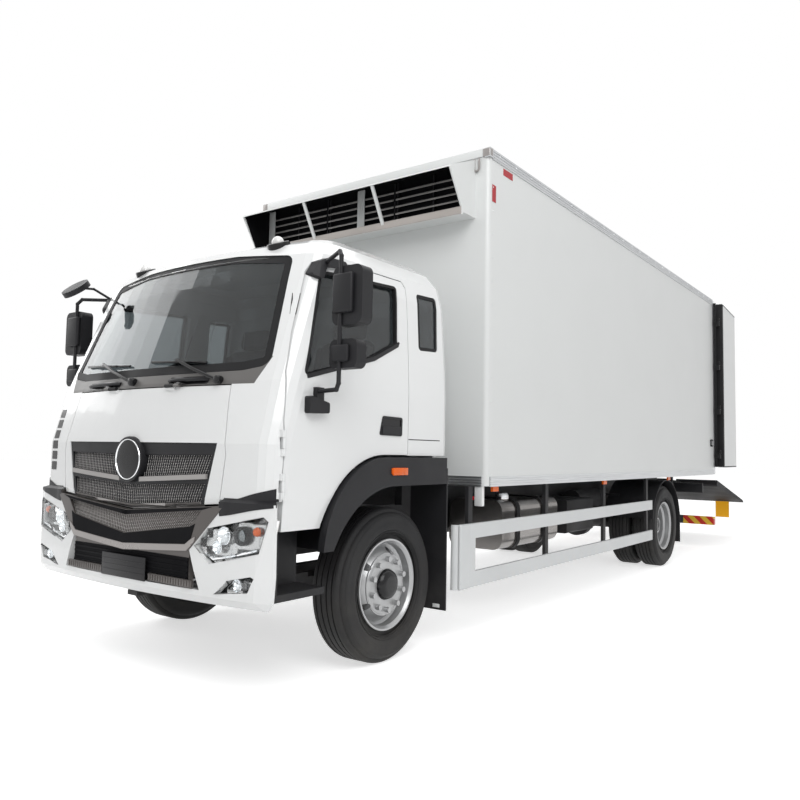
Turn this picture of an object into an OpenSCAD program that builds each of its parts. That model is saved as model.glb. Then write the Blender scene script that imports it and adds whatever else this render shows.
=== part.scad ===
// Box delivery truck with a hinged tail lift. Millimetres, +Z up, the front faces -Y.
// Lengths are laid out from the front axle and moved to the middle of the whole at the end.

/* [Wheels] */
// Distance between the front and the rear axle
wheelbase = 5800; // [5400:50:6200]
// Outside diameter of a tyre
tyre_d = 1020; // [960:5:1060]
// Width of a tyre
tyre_w = 276; // [250:2:300]
// Diameter over the rim flange
rim_d = 600; // [560:5:620]
// Distance between the middles of the front tyres
front_track = 1974; // [1900:2:2040]
// Distance between the outer and the inner rear tyre, middle to middle
twin_pitch = 312; // [305:1:330]
// Outer face of the outer rear tyre from the middle of the truck
rear_face = 1200; // [1150:5:1230]
// Number of wheel nuts
nuts = 10; // [6:1:12]
// Number of hand holes in a wheel disc
hand_holes = 5; // [4:1:6]

/* [Axles] */
// Kingpin inside the middle plane of a front tyre
kingpin_in = 147; // [140:1:160]
// Kingpin radius
kingpin_r = 22; // [16:1:28]
// Wheel spindle radius
spindle_r = 36; // [28:1:42]
// Play on the radius between a pin and its bore
play = 0.4; // [0.3:0.05:0.6]
// Steering arm length behind the kingpin
steer_arm = 215; // [180:5:225]

/* [Chassis frame] */
// Width over the two rails
frame_w = 860; // [820:10:880]
// Rail height
rail_h = 240; // [200:10:280]
// Top of the rails above the ground
rail_top = 950; // [920:10:980]
// Rail wall
rail_t = 10; // [6:1:14]
// Rail flange
rail_flange = 75; // [60:5:90]

// Radius of the hole for the tow pin
tow_r = 20; // [16:0.5:22]

/* [Load box] */
// Box width
box_w = 2550; // [2450:10:2600]
// Rear end of the box behind the rear axle
rear_overhang = 2252; // [2000:4:2400]
// Box height with the floor
box_h = 2670; // [2300:10:2800]
// Front face of the box behind the front axle
box_y = 1012; // [960:4:1100]
// Underside of the box above the ground
box_z = 1140; // [1130:5:1180]
// Thickness of the walls and the roof
wall_t = 80; // [50:5:100]
// Thickness of the floor
floor_t = 110; // [90:5:140]
// Depth of the steel frame around the rear opening
rear_frame_d = 100; // [80:5:130]
// Thickness of a rear door
rear_door_t = 90; // [60:5:100]
// Angle of the rear doors at rest
rear_door_open = 86; // [0:1:90]

/* [Cab] */
// Thickness of the cab shell
cab_t = 50; // [40:2:60]
// Thickness of a cab door
door_t = 70; // [60:2:80]
// Gap around doors and the front lid
shut_gap = 7; // [6:0.5:9]
// Gap between a pane and its frame
pane_gap = 0.3; // [0.2:0.1:0.6]
// Hinge barrel radius
hinge_r = 10; // [8:1:12]
// Hinge pin radius
hinge_pin_r = 5; // [4:0.5:6]

/* [Tail lift] */
// Arm pivot ahead of the rear end of the box
lift_in = 302; // [290:2:320]
// Arm pivot above the ground
lift_z = 760; // [740:5:780]
// Arm length from pivot to pivot
lift_arm = 760; // [700:5:800]
// Angle of the arms above level at rest
lift_rest = 15.6; // [10:0.2:20]
// Platform length from its pivot to the tip
platform_len = 1970; // [1700:10:2000]
// Half width of the platform
platform_half = 1180; // [1100:10:1240]
// Slope of the platform at rest, tip down
platform_slope = 12; // [6:0.5:14]
// Arms from the middle of the truck
arm_x = 500; // [480:5:520]

/* [Hidden] */
$fn = 48;
tyre_r = tyre_d / 2;
rim_r = rim_d / 2;
well_r = rim_r - 44;
bead_r = rim_r - 13.4;
front_x = front_track / 2;
kingpin_x = front_x - kingpin_in;
rear_outer_x = rear_face - tyre_w / 2;
rear_inner_x = rear_outer_x - twin_pitch;
rear_mid_x = (rear_outer_x + rear_inner_x) / 2;
rail_x = frame_w / 2;
rail_bottom = rail_top - rail_h;
frame_front = -1050;
box_half = box_w / 2;
box_rear = wheelbase + rear_overhang;
lift_y = box_rear - lift_in;
frame_rear = lift_y - 60;
guard_x = box_half - 25;
box_top = box_z + box_h;
floor_top = box_z + floor_t;
bumper_front = -1272;
hinge_y = lift_y + lift_arm * cos(lift_rest);
hinge_z = lift_z + lift_arm * sin(lift_rest);
platform_top = 85;
tip_y = hinge_y + platform_len * cos(platform_slope) + 65 * sin(platform_slope);
mid_y = (bumper_front + tip_y) / 2;
rear_pin_x = box_half + 10 + rear_door_t / 2;
rear_pin_y = box_rear + 6 + rear_door_t / 2;
door_pin = [1171, -1072];
lid_pin = [-1196, 1772];

// Moves a piece from the front axle to the middle of the whole
module truck() {
  translate([0, -mid_y, 0])
    children();
}

// The piece and its mirror image on the other side
module pair() {
  children();
  mirror([1, 0, 0])
    children();
}

// Side view outline (y, z) drawn out from x0 to x1
module across(x0, x1) {
  translate([x0, 0, 0])
    rotate([90, 0, 90])
      linear_extrude(x1 - x0)
        children();
}

// Front view outline (x, z) drawn out from y0 to y1
module along(y0, y1) {
  translate([0, y1, 0])
    rotate([90, 0, 0])
      linear_extrude(y1 - y0)
        children();
}

// Block between two corners
module block(a, b) {
  translate(a)
    cube(b - a);
}

// Cylinder along X from x0 to x1
module rod_x(r, x0, x1, y, z) {
  translate([x0, y, z])
    rotate([0, 90, 0])
      cylinder(r = r, h = x1 - x0);
}

// Rectangle with round corners between two corners
module rounded(a, b, r) {
  translate([a[0] + r, a[1]])
    square([b[0] - a[0] - 2 * r, b[1] - a[1]]);
  translate([a[0], a[1] + r])
    square([b[0] - a[0], b[1] - a[1] - 2 * r]);
  for (x = [a[0] + r, b[0] - r], y = [a[1] + r, b[1] - r])
    translate([x, y])
      circle(r);
}

// Cab sections: height, half width, front, bow of the front, corner radius, rear, 1 if the inside drops
CAB = [
  [930, 1150, -1215, 62, 150, 605, 1],
  [1110, 1166, -1243, 66, 150, 612, 0],
  [1420, 1172, -1243, 70, 150, 615, 0],
  [1790, 1172, -1185, 108, 165, 615, 0],
  [2000, 1164, -1115, 124, 175, 615, 0],
  [2440, 1138, -955, 128, 180, 604, 0],
  [2600, 1108, -890, 128, 170, 580, 1],
  [2690, 1052, -800, 112, 170, 528, 1],
  [2750, 962, -640, 80, 150, 430, 1],
  [2775, 820, -430, 40, 100, 220, 1]
];
rear_corner = 60;
cab_back_y = 535;

// Right half of a cab section, from the front round to the rear
function cab_half(hw, front, bow, rc, rear) =
  let (flat = hw - rc)
  concat(
    [for (i = [0 : 5]) [flat * i / 6, front + bow * pow(i / 6, 2)]],
    [for (i = [0 : 5]) [flat + rc * sin(18 * i), front + bow + rc * (1 - cos(18 * i))]],
    [for (i = [0 : 3]) [hw - rear_corner * (1 - cos(30 * i)), rear - rear_corner * (1 - sin(30 * i))]]
  );

// The cab as one full block, t inside its outer skin
module cab_block(t) {
  hull()
    for (s = CAB) {
      half = cab_half(s[1] - t, s[2] + t, s[3], s[4] - t / 2, s[5] - t);
      translate([0, 0, s[0] - t * s[6]])
        linear_extrude(1)
          polygon(concat(half, [for (i = [len(half) - 1 : -1 : 1]) [-half[i][0], half[i][1]]]));
    }
}

// Layer of the cab between two depths under its skin
module cab_layer(outer, inner) {
  difference() {
    cab_block(outer);
    cab_block(inner);
  }
}

// Side view of a door, grown by g
module door_outline(g) {
  offset(delta = g)
    difference() {
      polygon([[-1052, 937], [-1066, 1270], [-1056, 1560], [-1014, 1836], [-936, 2074], [-790, 2470],
               [-752, 2532], [-692, 2562], [72, 2566], [108, 2528], [104, 1376], [-700, 937]]);
      arch_outline(17);
    }
}

// Side view of the outer edge of the front wheel arch, grown by g
module arch_outline(g) {
  translate([-150, 750])
    circle(606 + g, $fn = 72);
  translate([-150, 400])
    square([715, 956 + g]);
}

// Side view of the inner edge of the front wheel arch
module arch_inside() {
  translate([-60, 484])
    circle(683, $fn = 72);
  translate([-60, 300])
    square([800, 867]);
}

// Side view of a door window, grown by g
module window_outline(g) {
  offset(r = 30 + g)
    offset(delta = -30)
      polygon([[-930, 1810], [-278, 1986], [-12, 2110], [6, 2520], [-742, 2480]]);
}

// Side view of a quarter window, grown by g
module quarter_outline(g) {
  offset(r = 30 + g)
    polygon([[268, 2138], [448, 2148], [464, 2492], [270, 2484]]);
}

// Front view of the windscreen, grown by g
module screen_outline(g) {
  offset(r = 70 + g)
    polygon([[-935, 1940], [-820, 1922], [-400, 1915], [400, 1915], [820, 1922], [935, 1940],
             [850, 2530], [450, 2568], [-450, 2568], [-850, 2530]]);
}

// Front view of the lid, grown by g
module lid_outline(g) {
  offset(delta = g)
    polygon([[-775, 1764], [-795, 1600], [-830, 1360], [-795, 1080], [0, 1018], [795, 1080], [830, 1360],
             [795, 1600], [775, 1764]]);
}

// Front view of the cowl
module cowl_outline() {
  polygon([[-940, 1771], [940, 1771], [1012, 1930], [980, 1960], [-980, 1960], [-1012, 1930]]);
}

badge_z = 1317;
badge_r = 142;

// Front view of the grille opening in the lid, grown by g
module grille_outline(g) {
  offset(delta = g)
    polygon([[-660, 1000], [660, 1000], [765, 1425], [-765, 1425]]);
}

// Grille rows: lower edge at the end and in the middle, upper edge at the end and in the middle, half width
// at the top and at the bottom
ROW = [
  [1247, 1206, 1357, 1346, 727, 694],
  [1083, 1040, 1190, 1162, 678, 646],
  [944, 863, 1039, 974, 689, 603]
];

// Front view of one grille row, grown by g
module row_outline(row, g) {
  offset(delta = g)
    polygon([[-row[5], row[0]], [0, row[1]], [row[5], row[0]], [row[4], row[2]], [0, row[3]], [-row[4], row[2]]]);
}

// Rails of C section
module chassis_rails() {
  color([0.12, 0.12, 0.13])
    truck()
      pair()
        difference() {
          block([rail_x - rail_flange, frame_front, rail_bottom], [rail_x, frame_rear, rail_top]);
          block([rail_x - rail_flange - 1, frame_front - 1, rail_bottom + rail_t],
                [rail_x - rail_t, frame_rear + 1, rail_top - rail_t]);
        }
}

// Cross members with the cab stands, the bearers under the box, the posts of the side guards, the bumper brackets
// and the tow jaw
GUARD_POST = [860, 2200, 3600, wheelbase - 820];
MEMBER_Y = [-960, 1250, 2700, wheelbase - 1650, wheelbase - 700, wheelbase + 700, wheelbase + 1600];
module crossmembers() {
  inner = rail_x - rail_t;
  color([0.13, 0.13, 0.14])
    truck() {
      for (y = MEMBER_Y)
        block([-inner, y - 60, rail_bottom + 40], [inner, y + 60, rail_top - 40]);
      pair() {
        for (y = [-880, 380])
          block([rail_x - 70, y - 50, rail_top], [rail_x, y + 50, 1290]);
        block([rail_x - 70, box_y + 60, rail_top], [rail_x, box_rear - 120, box_z]);
        for (y = GUARD_POST)
          block([guard_x - 55, y - 30, 395], [guard_x - 25, y + 30, box_z]);
      }
      pair() {
        block([rail_x - 70, -1100, 804], [rail_x, frame_front, 890]);
        intersection() {
          block([rail_x - 70, -1300, 804], [rail_x, -1099, 890]);
          bumper_block(40 + pane_gap);
        }
      }
      block([-60, -1020, 470], [60, -960, rail_top - 60]);
      for (z = [470, 530])
        difference() {
          block([-50, -1190, z], [50, -1000, z + 30]);
          translate([0, -1150, z - 1])
            cylinder(r = tow_r, h = 32);
        }
    }
}

// Engine with its gearbox and the shaft to the rear axle
shaft_start = [1000, 690];
shaft_end = [wheelbase - 230, tyre_r + 20];
module driveline() {
  run = shaft_end - shaft_start;
  color([0.3, 0.31, 0.33])
    truck() {
      block([-330, -820, 640], [330, 260, 1230]);
      block([-200, 260, 620], [200, 1000, 940]);
      pair()
        block([330, -420, 760], [rail_x - rail_t, -320, 840]);
      translate([0, shaft_start[0] - 20, shaft_start[1]])
        rotate([-90 + atan2(run[1], run[0]), 0, 0])
          cylinder(r = 50, h = norm(run) + 16);
    }
}

// Beam of the front axle with an eye for each kingpin
module front_axle() {
  beam_half = kingpin_x - 240;
  color([0.14, 0.14, 0.15])
    truck() {
      difference() {
        union() {
          block([-beam_half, -45, 400], [beam_half, 45, 500]);
          pair() {
            across(beam_half - 40, kingpin_x)
              translate([-40, 462])
                square([80, 96]);
            block([beam_half - 80, -45, 400], [beam_half, 45, 558]);
            translate([kingpin_x, 0, 462])
              cylinder(r = 44, h = 96);
          }
        }
        pair()
          translate([kingpin_x, 0, 400])
            cylinder(r = kingpin_r + play, h = 300);
      }
    }
}

// Housing of the rear axle with its differential and the hub spindles
module rear_axle() {
  color([0.14, 0.14, 0.15])
    truck() {
      rod_x(72, -rear_mid_x + 70, rear_mid_x - 70, wheelbase, tyre_r);
      rod_x(spindle_r, -rear_mid_x - 130, rear_mid_x + 130, wheelbase, tyre_r);
      translate([0, wheelbase, tyre_r])
        rotate([-90, 0, 0])
          rotate_extrude()
            polygon([[0, -150], [130, -150], [210, -60], [210, 60], [130, 150], [0, 150]]);
      translate([0, wheelbase - 230, tyre_r])
        rotate([-90, 0, 0])
          cylinder(r = 90, h = 230);
    }
}

// Leaf packs with their hangers: 1 at the rear axle, distance from the middle, half length, top of the axle seat
SPRING = [
  [0, 400, 800, 500],
  [1, 505, 850, 582]
];
module leaf_springs() {
  color([0.16, 0.15, 0.15])
    truck()
      pair()
        for (s = SPRING) {
          translate([0, s[0] * wheelbase, 0]) {
            block([s[1] - 40, -s[2], s[3] + 60], [s[1] + 40, s[2], s[3] + 90]);
            block([s[1] - 40, -s[2] * 0.6, s[3] + 30], [s[1] + 40, s[2] * 0.6, s[3] + 60]);
            block([s[1] - 55, -80, s[3]], [s[1] + 55, 80, s[3] + 30]);
            for (e = [-1, 1])
              block([min(s[1] - 40, rail_x - 60), e * s[2] - 45, s[3] + 90], [s[1] + 40, e * s[2] + 45, rail_bottom]);
            if (s[1] > rail_x)
              for (e = [-1, 1])
                block([rail_x, e * s[2] - 45, s[3] + 90], [s[1] + 40, e * s[2] + 45, rail_bottom + 120]);
          }
        }
}

// Fuel tank with two straps on its brackets
tank_end = 2900;
module fuel_tank() {
  color([0.75, 0.76, 0.78])
    truck() {
      along(1760, tank_end)
        rounded([470, 555], [1010, 985], 95);
      for (y = [2050, 2570]) {
        along(y - 30, y + 30)
          rounded([462, 547], [1018, 993], 100);
        block([rail_x, y - 30, rail_bottom], [520, y + 30, rail_top - 20]);
      }
      translate([900, 1960, 960])
        cylinder(r = 55, h = 60);
    }
}

// Battery box and air tanks on the left in the bay between the tank and the rear spring, silencer on the right
module frame_boxes() {
  bay = tank_end + 300;
  bay_len = wheelbase - 930 - bay;
  box_end = bay + 0.42 * bay_len;
  air = bay + 0.57 * bay_len;
  air_len = 0.43 * bay_len;
  color([0.1, 0.1, 0.11])
    truck() {
      along(bay, box_end)
        rounded([500, 590], [980, 930], 25);
      for (y = [bay + 100, box_end - 100])
        block([rail_x, y - 30, rail_bottom + 10], [520, y + 30, rail_top - 20]);
      for (z = [640, 880])
        translate([620, air, z])
          rotate([-90, 0, 0])
            cylinder(r = 110, h = air_len);
      for (y = [air + 120, air + air_len - 120])
        block([rail_x, y - 20, rail_bottom + 10], [560, y + 20, rail_top - 20]);
      along(1500, 2450)
        rounded([-1010, 570], [-480, 960], 40);
      for (y = [1650, 2300])
        block([-500, y - 30, rail_bottom + 10], [-rail_x, y + 30, rail_top - 20]);
    }
}

// Guard rails between the wheels with a bowed front end
module side_guards() {
  rear = wheelbase - 700;
  color([0.78, 0.79, 0.8])
    truck()
      pair() {
        for (z = [[395, 510], [755, 865]])
          block([guard_x - 25, 840, z[0]], [guard_x, rear, z[1]]);
        block([guard_x - 25, 705, 395], [guard_x, 900, 865]);
        translate([guard_x - 60, 705, 395])
          intersection() {
            difference() {
              cylinder(r = 60, h = 470);
              translate([0, 0, -1])
                cylinder(r = 35, h = 472);
            }
            block([0, -70, 0], [70, 0, 470]);
          }
      }
}

// Guards over the rear wheels with their flaps
module rear_mudguards() {
  color([0.07, 0.07, 0.08])
    truck()
      pair() {
        translate([0, wheelbase, tyre_r])
          across(rear_inner_x - tyre_w / 2 - 5, rear_face + 15)
            difference() {
              circle(tyre_r + 76, $fn = 96);
              circle(tyre_r + 68, $fn = 96);
              translate([-1000, -1000])
                square([2000, 1000 + 120]);
            }
        block([rear_inner_x - tyre_w / 2 - 5, wheelbase + tyre_r + 60, 260],
              [rear_face + 15, wheelbase + tyre_r + 68, 660]);
        for (e = [-1, 1])
          block([rail_x, wheelbase + e * 440 - 20, 880], [rear_inner_x, wheelbase + e * 440 + 20, 880 + 30]);
      }
}

// Underrun bar in three lengths, so that the lift arms pass between them
module underrun_bar() {
  color([0.75, 0.1, 0.08])
    truck() {
      block([-arm_x + 80, box_rear - 20, 370], [arm_x - 80, box_rear + 80, 490]);
      pair() {
        block([arm_x + 80, box_rear - 20, 370], [guard_x, box_rear + 80, 490]);
        block([arm_x + 90, box_rear - 60, 370], [arm_x + 150, box_rear - 20, box_z]);
        block([rail_x - 65, box_rear - 60, 370], [rail_x - 20, box_rear - 20, 780]);
        block([rail_x - 65, frame_rear - 200, rail_bottom + rail_t], [rail_x - 20, box_rear - 20, 780]);
      }
    }
}

// Bumper sections: height, half width, front, bow, corner radius
BUMPER = [
  [515, 1150, -1232, 60, 130],
  [560, 1185, -1262, 62, 140],
  [700, 1196, -1266, 62, 140],
  [1090, 1190, -1252, 62, 140]
];

module bumper_block(t) {
  hull()
    for (s = BUMPER) {
      half = cab_half(s[1] - t, s[2] + t, s[3], s[4] - t / 2, -1090);
      low = t > 0 ? (s[0] < 600 ? -t : t) : 0;
      translate([0, 0, s[0] + low])
        linear_extrude(1)
          polygon(concat(half, [for (i = [len(half) - 1 : -1 : 1]) [-half[i][0], half[i][1]]]));
    }
}

// Front view of one headlamp, grown by g
module headlamp_outline(g) {
  offset(delta = g)
    polygon([[640, 838], [735, 940], [1130, 1024], [1160, 1000], [1115, 826], [760, 742]]);
}

// Front view of one fog lamp, grown by g
module fog_outline(g) {
  offset(delta = g)
    polygon([[805, 580], [905, 664], [1070, 700], [1092, 690], [1050, 610]]);
}

// Front view of the dark opening in the middle of the bumper
module mouth_outline(g) {
  offset(delta = g)
    polygon([[-690, 590], [690, 590], [600, 806], [0, 770], [-600, 806]]);
}

// Front view of the grille shield in the bumper
module shield_outline(g) {
  offset(delta = g)
    polygon([[-900, 1120], [-640, 850], [-590, 800], [0, 760], [590, 800], [640, 850], [900, 1120], [815, 1120],
             [815, 1070], [0, 1006], [-815, 1070], [-815, 1120]]);
}

// Front view of the opening that the shield and the lid share in the bumper
module shield_opening() {
  hull()
    shield_outline(0);
}

module bumper() {
  color([0.92, 0.92, 0.92])
    truck()
      difference() {
        bumper_block(0);
        bumper_block(45);
        block([-1300, -1130, 400], [1300, 0, 1200]);
        along(-1400, -1000)
          mouth_outline(0);
        along(-1400, -1000)
          shield_opening();
        pair()
          along(-1400, -1000) {
            headlamp_outline(0);
            fog_outline(0);
          }
      }
}

// Shield with the lowest grille row, and the step plate in the opening
module bumper_grille() {
  color([0.35, 0.33, 0.31])
    truck() {
      intersection() {
        difference() {
          bumper_block(-6);
          bumper_block(40);
          block([-1300, -1130, 400], [1300, 0, 1200]);
        }
        along(-1400, -1000)
          difference() {
            shield_outline(-pane_gap);
            row_outline(ROW[2], 0);
          }
      }
      intersection() {
        difference() {
          bumper_block(20);
          bumper_block(30);
        }
        along(-1400, -1150)
          row_outline(ROW[2], 6);
      }
      block([-590, -1232, 596], [590, -1196, 800]);
    }
}

module front_lamps() {
  color([0.85, 0.87, 0.9])
    truck()
      pair()
        intersection() {
          difference() {
            bumper_block(4);
            bumper_block(60);
            block([-1300, -1130, 400], [1300, 0, 1200]);
          }
          along(-1400, -1000) {
            headlamp_outline(-pane_gap);
            fog_outline(-pane_gap);
          }
        }
}

// Black arches over the front wheels with their flaps, and the step wells in front of them
module front_arches() {
  color([0.06, 0.06, 0.07])
    truck()
      pair() {
        across(1150, 1200)
          difference() {
            arch_outline(0);
            arch_inside();
            translate([-2000, -200])
              square([4000, 1000]);
          }
        across(760, 1150)
          difference() {
            intersection() {
              arch_outline(0);
              translate([-60, 484])
                circle(695, $fn = 72);
            }
            arch_inside();
            translate([-2000, -200])
              square([4000, 1000]);
          }
        block([760, -60, 1167], [1150, 565, 1179]);
        block([880, 564, 260], [1200, 577, 1280]);
        block([rail_x, 150, 1179], [800, 210, 1230]);
        block([rail_x - 60, 150, rail_top], [rail_x + 20, 210, 1230]);
        block([930, -1125, 560], [1180, -720, 600]);
        block([930, -1125, 600], [950, -720, 925]);
        block([930, -1125, 600], [1180, -1105, 925]);
        block([rail_x, -1000, 740], [930, -940, 800]);
        block([rail_x, -820, 740], [930, -760, 800]);
      }
}

// Floor of the cab, inside the doors
floor_half = CAB[1][1] - door_t - 6;
module cab_floor() {
  color([0.2, 0.2, 0.21])
    truck()
      block([-floor_half, -1010, 1290], [floor_half, cab_back_y, 1350]);
}

// Height of the middle of each door hinge
DOOR_HINGE_Z = [1190, 1430];

// Barrel of a door hinge with a strap that reaches s to the rear
module door_barrel(h, s) {
  cylinder(r = hinge_r, h = h);
  block([-30, min(0, s), 0], [0, max(0, s), h]);
}

// Front of the cab: corner panels, windscreen frame and the wall behind the lid
module cab_front() {
  color([0.92, 0.92, 0.92])
    truck() {
      difference() {
        intersection() {
          cab_layer(0, cab_t);
          union() {
            block([-1300, -1400, 1105], [1300, -800, 2800]);
            block([-1300, -801, 1105], [1300, -690, 2590]);
          }
        }
        side_cut()
          door_outline(shut_gap);
        along(-1400, -700)
          screen_outline(0);
        along(-1400, -900)
          lid_outline(shut_gap);
        along(-1400, -700)
          cowl_outline();
        pair()
          for (z = DOOR_HINGE_Z)
            translate([door_pin[0], door_pin[1], z])
              block([-36, -hinge_r - 6, -34], [hinge_r + 6, hinge_r + 6, 34]);
      }
      block([-1060, -1045, 1290], [1060, -1015, 1450]);
      block([-900, -1045, 1450], [900, -1015, 1780]);
      pair()
        block([1030, -1138, 1200], [1060, -1015, 1450]);
      pair()
        for (z = DOOR_HINGE_Z, e = [-1, 1])
          translate([door_pin[0], door_pin[1], z + (e < 0 ? -72 : 32)])
            door_barrel(40, -14);
      pair()
        for (z = DOOR_HINGE_Z)
          translate([door_pin[0], door_pin[1], z - 50])
            cylinder(r = hinge_pin_r, h = 100);
    }
}

// Cuts both sides of the cab with a side view outline
module side_cut() {
  pair()
    across(850, 1400)
      children();
}

// Sides of the cab behind the doors
module cab_sides() {
  color([0.92, 0.92, 0.92])
    truck()
      difference() {
        intersection() {
          cab_layer(0, cab_t);
          block([-1300, -690, 1369], [1300, cab_back_y, 2590]);
        }
        side_cut() {
          door_outline(shut_gap);
          quarter_outline(0);
        }
      }
}

// Rear wall of the cab with the sill that it stands on
module cab_back() {
  color([0.92, 0.92, 0.92])
    truck() {
      intersection() {
        cab_layer(0, cab_t);
        block([-1300, cab_back_y, 1369], [1300, 700, 2590]);
      }
      block([-floor_half, cab_back_y, 1290], [floor_half, cab_back_y + 45, 1400]);
    }
}

// Roof of the cab
module cab_roof() {
  color([0.92, 0.92, 0.92])
    truck()
      difference() {
        intersection() {
          cab_layer(0, cab_t);
          block([-1300, -800, 2590], [1300, 700, 2900]);
        }
        along(-1400, -700)
          screen_outline(0);
      }
}

// Cowl under the windscreen with its half of the lid hinges
module cowl() {
  color([0.2, 0.2, 0.21])
    truck() {
      difference() {
        intersection() {
          cab_layer(0, cab_t);
          along(-1400, -800)
            difference() {
              cowl_outline();
              screen_outline(0);
            }
        }
        side_cut()
          door_outline(shut_gap);
      }
      pair() {
        rod_x(hinge_r, 341, 390, lid_pin[0], lid_pin[1]);
        rod_x(hinge_pin_r, 270, 360, lid_pin[0], lid_pin[1]);
        block([341, lid_pin[0], lid_pin[1]], [390, lid_pin[0] + 45, lid_pin[1] + 16]);
      }
    }
}

// Windscreen and quarter windows
module cab_glass() {
  color([0.25, 0.3, 0.32])
    truck() {
      intersection() {
        cab_layer(6, 14);
        along(-1400, -700)
          screen_outline(-pane_gap);
      }
      intersection() {
        cab_layer(8, 14);
        side_cut()
          quarter_outline(-pane_gap);
      }
    }
}

// Dashboard with the steering column and the wheel
module dashboard() {
  color([0.13, 0.13, 0.14])
    truck() {
      block([-880, -1015, 1560], [880, -900, 1790]);
      block([-1020, -901, 1560], [1020, -760, 1790]);
      translate([500, -800, 1640])
        rotate([-55, 0, 0]) {
          cylinder(r = 35, h = 260);
          translate([0, 0, 250])
            rotate_extrude($fn = 48)
              translate([215, 0])
                circle(15);
          for (a = [0, 120, 240])
            rotate(a)
              block([0, -15, 244], [212, 15, 256]);
        }
    }
}

// Two seats on their boxes
module seats() {
  color([0.25, 0.25, 0.27])
    truck()
      for (x = [-520, 500])
        translate([x, 0, 0]) {
          block([-200, -330, 1350], [200, 120, 1600]);
          across(-260, 260)
            rounded([-380, 1600], [160, 1740], 50);
          translate([0, 90, 1700])
            rotate([-10, 0, 0])
              across(-240, 240)
                rounded([0, 0], [130, 720], 55);
        }
}

// Floor of the box
module box_floor() {
  color([0.55, 0.56, 0.57])
    truck()
      block([-box_half + wall_t, box_y + wall_t, box_z], [box_half - wall_t, box_rear - rear_frame_d, floor_top]);
}

// Left and right walls of the box
module box_walls() {
  color([0.93, 0.93, 0.93])
    truck()
      pair()
        block([box_half - wall_t, box_y + wall_t, box_z], [box_half, box_rear - rear_frame_d, box_top]);
}

// Roof of the box
module box_roof() {
  color([0.93, 0.93, 0.93])
    truck()
      block([-box_half + wall_t, box_y + wall_t, box_top - wall_t],
            [box_half - wall_t, box_rear - rear_frame_d, box_top]);
}

// Front wall of the box with round upright corners
module box_front() {
  r = wall_t / 2;
  color([0.93, 0.93, 0.93])
    truck()
      translate([0, 0, box_z])
        linear_extrude(box_h) {
          translate([-box_half, box_y + r])
            square([box_w, wall_t - r]);
          translate([-box_half + r, box_y])
            square([box_w - 2 * r, wall_t]);
          for (x = [-box_half + r, box_half - r])
            translate([x, box_y + r])
              circle(r);
        }
}

// Steel frame round the rear opening with the hinge brackets
HINGE_Z = [1450, 2130, 2810, 3490];
module rear_frame() {
  post = wall_t + 10;
  color([0.7, 0.71, 0.72])
    truck() {
      along(box_rear - rear_frame_d, box_rear)
        difference() {
          translate([-box_half, box_z])
            square([box_w, box_h]);
          translate([-box_half + post, floor_top])
            square([box_w - 2 * post, box_h - floor_t - 120]);
        }
      pair()
        for (z = HINGE_Z)
          difference() {
            union() {
              block([box_half - 9, box_rear - 5, z - 70], [rear_pin_x, rear_pin_y + 14, z - 1]);
              translate([rear_pin_x, rear_pin_y, z - 70])
                cylinder(r = 16, h = 69);
              translate([rear_pin_x, rear_pin_y, z - 1])
                cylinder(r = 8, h = 61);
            }
          }
    }
}

// Metal rails along the edges of the box and the corner pieces
module box_rails() {
  color([0.72, 0.73, 0.75])
    truck() {
      pair() {
        for (z = [[box_z - 4, box_z + 74], [box_top - 78, box_top + 4]])
          block([box_half, box_y + 45, z[0]], [box_half + 8, box_rear - rear_frame_d, z[1]]);
        block([box_half - 40, box_y - 8, box_top - 70], [box_half + 10, box_y, box_top + 6]);
        block([box_half, box_y - 8, box_top - 70], [box_half + 10, box_y + 45, box_top + 6]);
      }
      block([-box_half + 40, box_y - 8, box_top - 60], [box_half - 40, box_y, box_top + 4]);
      block([-box_half + 40, box_y - 8, box_z - 4], [box_half - 40, box_y, box_z + 74]);
    }
}

// Hood over the vent on the front wall: side view points
hood_half = box_half - 125;
module hood_side() {
  polygon([[box_y, 3742], [634, 3580], [628, 3565], [800, 3300], [800, 3240], [812, 3240], [830, 3262], [box_y, 3262]]);
}

module vent_hood() {
  color([0.93, 0.93, 0.93])
    truck() {
      difference() {
        across(-hood_half, hood_half)
          hood_side();
        across(-hood_half + 12, hood_half - 12)
          polygon([[box_y + 1, 3730], [628, 3566], [500, 3566], [786, 3305], [812, 3300], [812, 3274],
                   [box_y + 1, 3274]]);
      }
      for (x = [-hood_half / 3, hood_half / 3])
        across(x - 14, x + 14)
          polygon([[634, 3574], [648, 3578], [814, 3272], [800, 3266]]);
    }
}

// Louvre blades on the wall under the hood
module vent_louvres() {
  color([0.6, 0.61, 0.62])
    truck()
      for (i = [0 : 2])
        translate([-hood_half + 14 + i * (2 * hood_half - 8) / 3, 0, 0]) {
          w = (2 * hood_half - 8) / 3 - 20;
          for (z = [3320 : 62 : 3650])
            across(0, w)
              polygon([[box_y, z], [box_y, z + 8], [box_y - 50, z - 24], [box_y - 50, z - 32]]);
          for (x = [0, w / 2 - 6, w - 12])
            block([x, box_y - 30, 3280], [x + 12, box_y, 3690]);
        }
}

// Side markers under the box, on the arches and on the cab roof, and the rear lamps
module marker_lamps() {
  color([0.9, 0.45, 0.1])
    truck() {
      pair() {
        for (y = [1180, 3520, wheelbase - 60])
          block([box_half - 30, y - 45, box_z - 44], [box_half - 10, y + 45, box_z]);
        block([1200, -110, 1250], [1208, -20, 1285]);
        block([690, box_rear - 80, 860], [1100, box_rear - 40, 990]);
        block([arm_x + 150, box_rear - 60, 900], [690, box_rear - 40, 940]);
        difference() {
          translate([700, -700, 2702])
            rotate([22, 0, 0]) {
              translate([0, 0, -60])
                cylinder(r = 72, h = 76);
              translate([0, 0, 22])
                sphere(r = 38);
            }
          cab_block(0);
        }
      }
    }
}

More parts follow.
